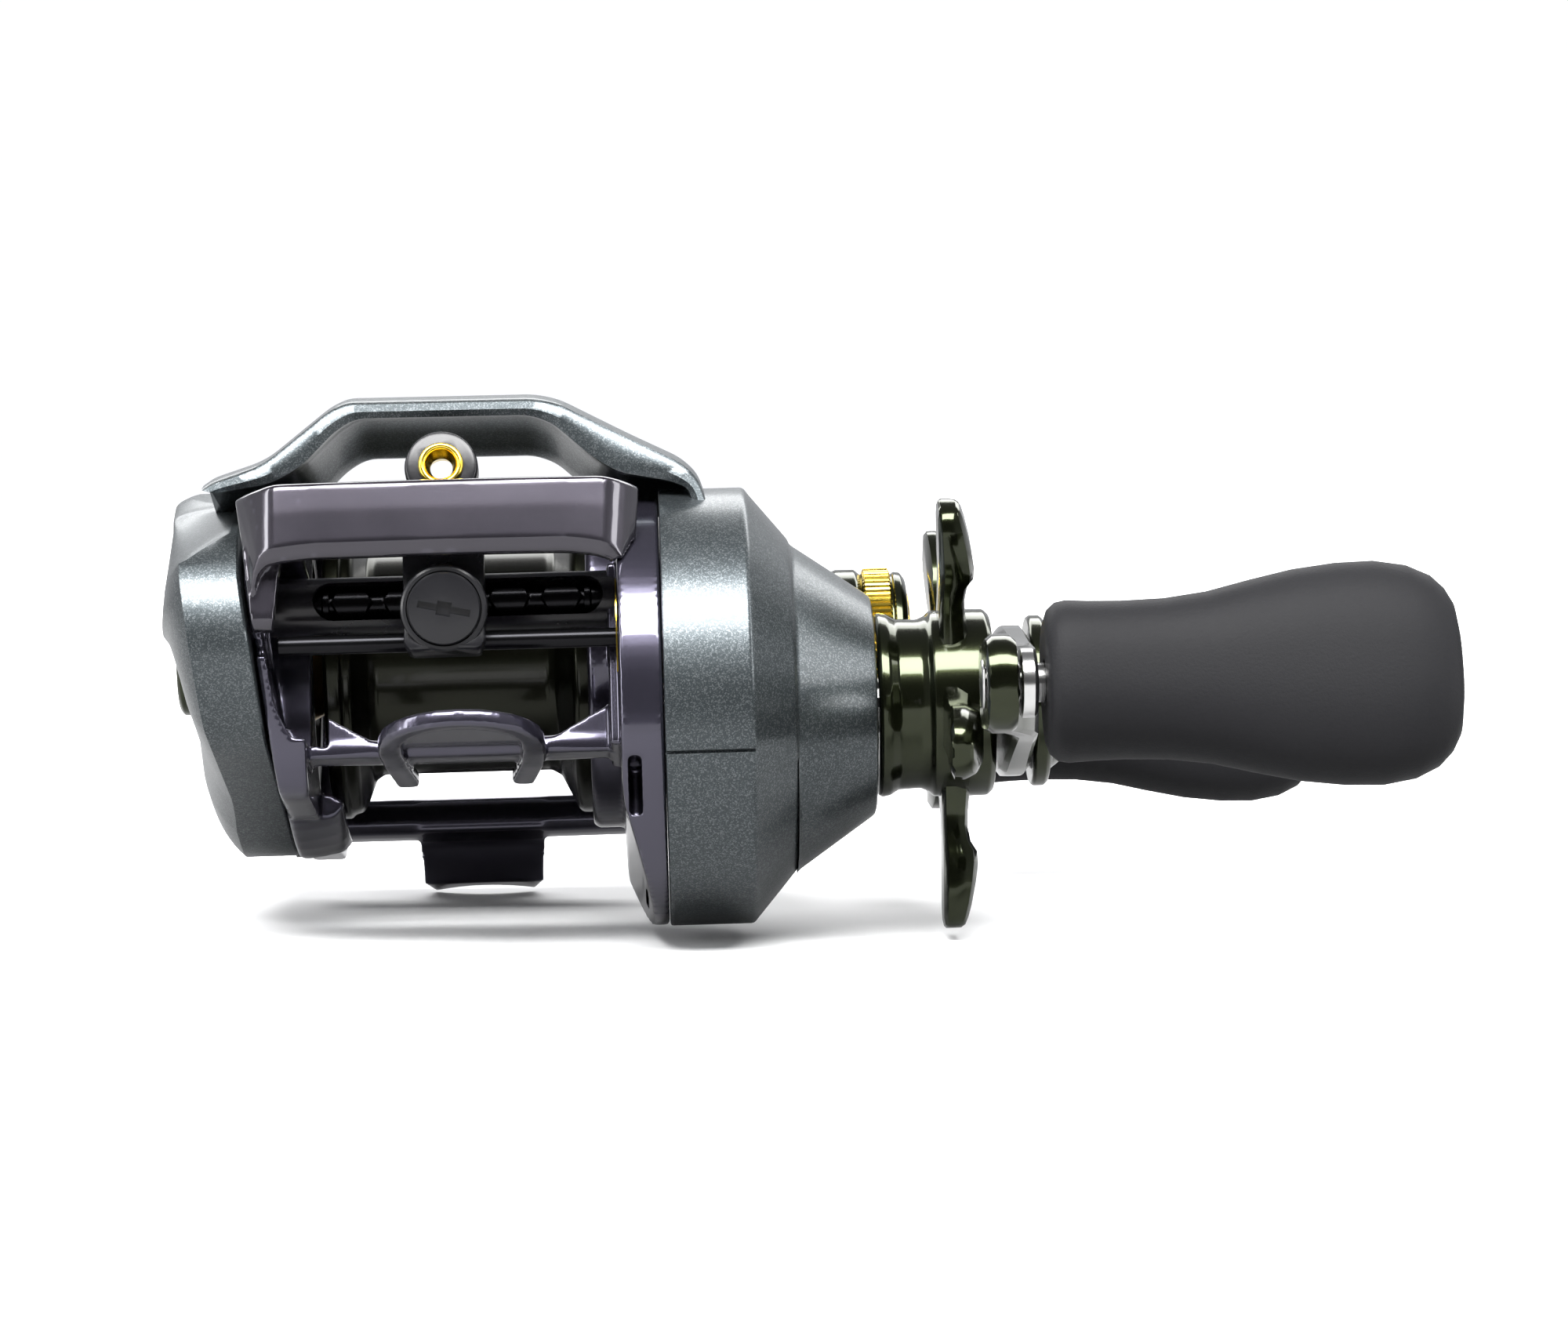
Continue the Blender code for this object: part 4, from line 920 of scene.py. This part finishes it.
def build_pawl_cap():
    """A round cap with a straight slot and a square socket in its face."""
    cap = bar("pawl_screw_cap", PAWL - PAWL_AXIS * 0.2, PAWL_AXIS,
              [(0, 3.4), (0.1, 3.6), (1.9, 3.6), (2.15, 3.45), (2.2, 3.2), (2.2, 1.0)], 96)
    along = Matrix.Rotation(math.radians(-12), 3, PAWL_AXIS) @ Vector((1, 0, 0))
    along = (along - PAWL_AXIS * along.dot(PAWL_AXIS)).normalized()
    across = PAWL_AXIS.cross(along)
    cuts = []
    for half_length, half_width, depth in ((2.6, 0.34, 0.6), (0.7, 0.7, 0.8)):
        cuts.append(loft("slot", [
            [PAWL + PAWL_AXIS * 2.2 + PAWL_AXIS * d + along * (a * half_length)
             + across * (b * half_width) for a, b in ((-1, -1), (1, -1), (1, 1), (-1, 1))]
            for d in (-depth, 1.0)]))
    carve(cap, minus=cuts)
    dress(cap, "black_plastic", "level_wind", ("pawl_cap",), smooth=30)


build_carriage()
turn_y("eyelet_ring", [(-33.3, 1.55), (-33.5, 1.8), (-33.45, 2.1), (-33.1, 2.28), (-33.0, 1.92),
                       (-29.5, 1.92), (-29.35, 1.75), (-29.6, 1.5), (-31.6, 1.08)],
       96, hollow=True, fillet=0.15,
       mat="gold", body="level_wind", stands=("line_guide_ring",))
build_pawl_cap()


# ------------------------------------------------------------------ front cover band
def band_ring(u):
    """The band's section at u, from -1 at the palm end to 1 at the handle end."""
    palm_end, handle_end = -20.75, 18.4
    middle_x = (palm_end + handle_end) / 2 + (handle_end - palm_end) / 2 * u
    palm = u < 0
    wrap = max(0.0, (abs(u) - 0.80) / 0.20)
    front = -36.3 + 0.5 * u * u + (3.6 if palm else 3.0) * wrap ** 1.9
    top = 8.25 - 0.3 * wrap
    bottom = (0.75 - (0.9 if palm else 1.4) * max(0.0, (abs(u) - 0.6) / 0.4) ** 1.6
              - (4.6 if palm else 2.2) * max(0.0, (abs(u) - 0.86) / 0.14) ** 1.8)
    section = soft([
        (front + 2.3, top - 0.6), (front + 2.1, top), (front + 0.4, top + 0.06),
        (front - 0.1, top - 0.3), (front - 0.16, top * 0.6 + bottom * 0.4),
        (front - 0.1, bottom + 1.25), (front + 0.05, bottom + 1.05), (front + 0.55, bottom + 0.15),
        (front + 0.9, bottom - 0.05), (front + 1.9, bottom + 0.05), (front + 2.3, bottom + 0.7)],
        0.28, True, 3)
    ring = []
    for y, z in section:
        x = middle_x
        if u > 0.75:    # the handle end is cut along a diagonal
            x -= (u - 0.75) / 0.25 * 0.9 * (top - z) / (top - bottom)
        if u < -0.9:
            x -= (-0.9 - u) / 0.1 * 0.14 * (z - 4)
        ring.append((x, y, z))
    return ring


def build_front_band():
    """The band, with a lug at each end, cut clear of both frame walls."""
    band = loft("front_band", [band_ring(-1 + 2 * i / 64) for i in range(65)])
    palm_lug = soft([(-33.2, 2.6), (-32.75, -4.6), (-31.9, -5.5), (-29.6, -5.3), (-28.0, 2.0),
                     (-29.5, 3.5)], 0.6, True)
    gear_lug = soft([(-33.3, 2.2), (-32.9, -1.2), (-31.0, -1.5), (-29.6, 3.0), (-31.0, 6.5),
                     (-32.6, 6.0)], 0.6, True)
    gap = -0.25
    carve(band, [
        prism_x("lug", palm_lug, (lambda z: seam(z) + 0.35, lambda z: -17.6 + 0.12 * (z + 5))),
        prism_x("lug", gear_lug, (15.9, 17.4)),
    ], [
        prism_x("wall", shrink(PALM_WALL, gap), (-30, -14.6)),
        prism_x("wall", shrink(GEAR_WALL, gap), (15.7, 30)),
    ])
    melt(band, 0.2, rounds=3)
    dress(band, "cover_gloss", "reel_frame", ("front_cover",), smooth=0)


build_front_band()

# ------------------------------------------------------------------ hood
# (x, z) of the arch's outer and inner lines, from the palm side to the handle side
HOOD_OUTER = [(-25.0, 13.1), (-24.0, 13.8), (-18.9, 15.5), (-12.4, 20.9), (-10.6, 21.8),
              (8.2, 21.7), (10.6, 21.1), (17.6, 17.2), (22.6, 14.6), (24.3, 12.9), (25.0, 10.6)]
HOOD_INNER = [(-23.4, 12.6), (-18.0, 13.3), (-15.0, 15.0), (-11.7, 18.6), (-9.6, 19.9),
              (7.6, 19.8), (9.8, 18.9), (13.6, 15.2), (16.2, 13.4), (21.4, 12.5), (23.2, 11.8),
              (23.6, 10.4)]
HOOD_STEPS = 120


def hood_drop(y):
    """How far the hood falls away from its highest line towards its front and rear lips."""
    return (2.9 * max(0.0, (-20.0 - y) / 8.5) ** 1.7
            + 1.1 * max(0.0, (y + 19.0) / 8.6) ** 1.6)


def build_hood():
    # (y, share of the way from the outer to the inner line, drop): out, rear lip, in, front lip
    section = [(y, 0.0, hood_drop(y)) for y in
               (-28.3, -27.6, -26.2, -24.5, -22.5, -20.0, -17.0, -14.0, -12.0, -10.9)]
    section += [(-10.5, 0.07, hood_drop(-10.5)), (-10.4, 0.5, hood_drop(-10.4)),
                (-10.55, 0.92, hood_drop(-10.4))]
    section += [(y, 1.0, hood_drop(y) * 1.05) for y in
                (-11.2, -13.0, -16.0, -20.0, -23.0, -25.5, -27.2)]
    section += [(y, share, hood_drop(y)) for y, share in
                ((-28.0, 0.92), (-28.5, 0.5), (-28.5, 0.1))]
    lines = [spaced(soft(line, 1.6, False, 8), HOOD_STEPS) for line in (HOOD_OUTER, HOOD_INNER)]
    loft("hood_arch", [[(xo * (1 - s) + xi * s, y, zo * (1 - s) + zi * s - drop)
                        for y, s, drop in section] for (xo, zo), (xi, zi) in zip(*lines)],
         mat="graphite_paint", body="reel_frame", stands=("top_hood",), smooth=32)


build_hood()

# ------------------------------------------------------------------ small fittings
prism_x("lock_tab", soft([(6.0, -18.7), (6.3, -17.6), (8.6, -17.5), (8.9, -18.7), (7.4, -18.8)],
                         0.35, True), (-18.9, -18.8, -17.0, -16.8),
        mat="black_plastic", body="plate_lock", stands=("side_plate_lock",))

screw = bar("plate_screw", (33.3, 12.0, 2.0), (1, 0, 0),
            [(0, 1.5), (0.0, 1.68), (1.3, 1.7), (1.6, 1.5), (1.7, 1.1), (1.7, 0.4)], 64)
carve(screw, minus=[block((34.3, 10.9, 1.75), (36, 13.1, 2.25)),
                    block((34.3, 11.75, 0.9), (36, 12.25, 3.1))])
dress(screw, "steel", "reel_frame", ("gear_plate_screw",), smooth=30)


def build_yoke_spring(number, side):
    """A coil of wire round the yoke's post."""
    turns, steps, length = 4, 20, 6.5
    post, coil, wire = 8, 1.5, 0.24     # post from the spool axis, coil and wire radii
    reach = math.hypot(*DRIVE)
    y, z = post * side * DRIVE[1] / reach, -post * side * DRIVE[0] / reach
    rings = []
    for k in range(turns * steps + 1):
        a = 2 * math.pi * k / steps
        x = 23.95 + length * k / (turns * steps)
        rings.append([(x + wire * math.sin(b), y + (coil + wire * math.cos(b)) * math.cos(a),
                       z + (coil + wire * math.cos(b)) * math.sin(a)) for b in angles(10)])
    spring = loft(f"spring_coil_{number}", rings, mat="steel", body="reel_frame",
                  stands=(f"yoke_spring_{number}",))
    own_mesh(spring)


build_yoke_spring(1, 1)
build_yoke_spring(2, -1)

# ------------------------------------------------------------------ stage, in metres
# The reel leans back on the floor, so the floor's normal is tilted in the reel's axes.
FLOOR_NORMAL = (0.02, -0.334, 0.943)
FLOOR_UP = Vector(FLOOR_NORMAL).normalized()
FLOOR_HALF = 1.6
TO_CAMERA = (-0.0286, -0.9632, -0.2672)

CAMERA_PLACE = Vector((19.80517, -444.28575, -125.83272)) * 0.001
CAMERA_FORWARD = Vector((0.0285873, 0.9632063, 0.2672384))
LEVEL_RIGHT = Vector((0.9987891, -0.0168161, -0.0462332))
LEVEL_UP = Vector((0.0400382, -0.2682365, 0.9625207))
CAMERA_ROLL = 0.011
CAMERA_RIGHT = LEVEL_RIGHT * math.cos(CAMERA_ROLL) + LEVEL_UP * math.sin(CAMERA_ROLL)
CAMERA_UP = LEVEL_UP * math.cos(CAMERA_ROLL) - LEVEL_RIGHT * math.sin(CAMERA_ROLL)

scene = bpy.context.scene
scene.view_settings.view_transform = "Standard"


def build_world():
    """White to the eye, but a dimmer light from above and from where the camera stands."""
    world = bpy.data.worlds.new("soft_white")
    scene.world = world
    world.use_nodes = True
    tree = world.node_tree
    coords = add(tree, "TexCoord").outputs["Generated"]

    def toward(direction, start, end):
        """A level that follows how nearly a ray points along the direction."""
        dot = add(tree, "VectorMath", {0: coords, 1: direction}, operation="DOT_PRODUCT")
        return remap(tree, dot.outputs["Value"], start, end)

    camera_side = toward(TO_CAMERA, start=(0.25, 0.9), end=(0.62, 0.07))
    above = toward(FLOOR_NORMAL, start=(0.15, 0.75), end=(1.0, 0.30))
    level = add(tree, "Math", {0: camera_side, 1: above}, operation="MULTIPLY").outputs[0]
    seen = add(tree, "LightPath").outputs["Is Camera Ray"]
    level = add(tree, "Math", {0: seen, 1: level}, operation="MAXIMUM").outputs[0]
    strength = add(tree, "Math", {0: level, 1: 1.05}, operation="MULTIPLY").outputs[0]
    set_inputs(tree, tree.nodes["Background"], {0: (0.96, 0.97, 1.0, 1), 1: strength})


def build_camera():
    camera = bpy.data.objects.new("camera", bpy.data.cameras.new("camera"))
    scene.collection.objects.link(camera)
    columns = (CAMERA_RIGHT, CAMERA_UP, -CAMERA_FORWARD, CAMERA_PLACE)
    camera.matrix_world = Matrix((*[[c[row] for c in columns] for row in range(3)], (0, 0, 0, 1)))
    camera.data.sensor_width = 36.0
    camera.data.lens = 100.8
    camera.data.shift_y = 0.003
    camera.data.clip_start = 0.01
    camera.data.clip_end = 20
    scene.camera = camera


def lowest_height():
    """Height of the lowest point of the reel, measured along the floor's normal."""
    low = 1e9
    depsgraph = bpy.context.evaluated_depsgraph_get()
    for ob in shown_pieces():
        evaluated = ob.evaluated_get(depsgraph)
        for vertex in evaluated.to_mesh().vertices:
            low = min(low, (evaluated.matrix_world @ vertex.co).dot(FLOOR_UP))
        evaluated.to_mesh_clear()
    return low


def floor_material():
    """Pale, glowing with distance, darker to all but the camera, and clear from below."""
    material, tree, shader = new_material("floor")
    noise = add(tree, "TexNoise", {"Scale": 18.0, "Detail": 4.0})
    pale = mix_colour(tree, noise.outputs["Fac"], (0.86, 0.865, 0.87), (0.92, 0.92, 0.925))
    coords = add(tree, "TexCoord").outputs["Object"]
    distance = add(tree, "VectorMath", {0: coords}, operation="LENGTH").outputs["Value"]
    glow = remap(tree, distance, start=(0.06, 0.36), end=(0.0, 1.1))
    seen = remap(tree, add(tree, "LightPath").outputs["Is Camera Ray"], end=(0.30, 1.0))
    tone = add(tree, "VectorMath", {0: pale, "Scale": seen}, operation="SCALE")
    emission = add(tree, "Math", {0: glow, 1: seen}, operation="MULTIPLY")
    set_inputs(tree, shader, {
        "Base Color": tone.outputs[0], "Roughness": 0.55,
        "Emission Color": (1, 1, 1, 1), "Emission Strength": emission.outputs[0]})
    one_sided = add(tree, "MixShader", {
        0: add(tree, "NewGeometry").outputs["Backfacing"], 1: shader.outputs[0],
        2: add(tree, "BsdfTransparent").outputs[0]})
    set_inputs(tree, tree.nodes["Material Output"], {0: one_sided.outputs[0]})
    return material


def build_floor():
    base = FLOOR_UP * (lowest_height() - 0.0002)
    side = FLOOR_UP.cross(Vector((0, 1, 0))).normalized()
    ahead = FLOOR_UP.cross(side)
    mesh = bpy.data.meshes.new("floor")
    mesh.from_pydata([tuple(base + side * a * FLOOR_HALF + ahead * b * FLOOR_HALF)
                      for a, b in ((-1, -1), (1, -1), (1, 1), (-1, 1))], [], [(0, 1, 2, 3)])
    floor = bpy.data.objects.new("floor", mesh)
    scene.collection.objects.link(floor)
    mesh.materials.append(floor_material())


def soft_box(name, right, up, back, size, power):
    """An area light placed from its aim: to the camera's right, up off the floor, and back."""
    light = bpy.data.lights.new(name, "AREA")
    light.shape = "RECTANGLE"
    light.size, light.size_y = size
    light.energy = power
    ob = bpy.data.objects.new(name, light)
    scene.collection.objects.link(ob)
    aim = Vector((0.015, -0.01, 0.0))
    place = aim + CAMERA_RIGHT * right + FLOOR_UP * up - CAMERA_FORWARD * back
    ob.location = place
    ob.rotation_mode = "QUATERNION"
    ob.rotation_quaternion = (aim - place).to_track_quat("-Z", "Y")


build_world()
build_camera()
build_floor()
soft_box("top_soft", right=0.0, up=0.62, back=0.42, size=(0.9, 0.34), power=24.0)
soft_box("left_soft", right=-0.7, up=0.22, back=0.30, size=(0.16, 0.9), power=5.0)
soft_box("right_soft", right=0.75, up=0.2, back=0.12, size=(0.16, 0.9), power=3.5)
soft_box("rear_soft", right=0.0, up=0.55, back=-0.6, size=(1.4, 0.3), power=7.0)
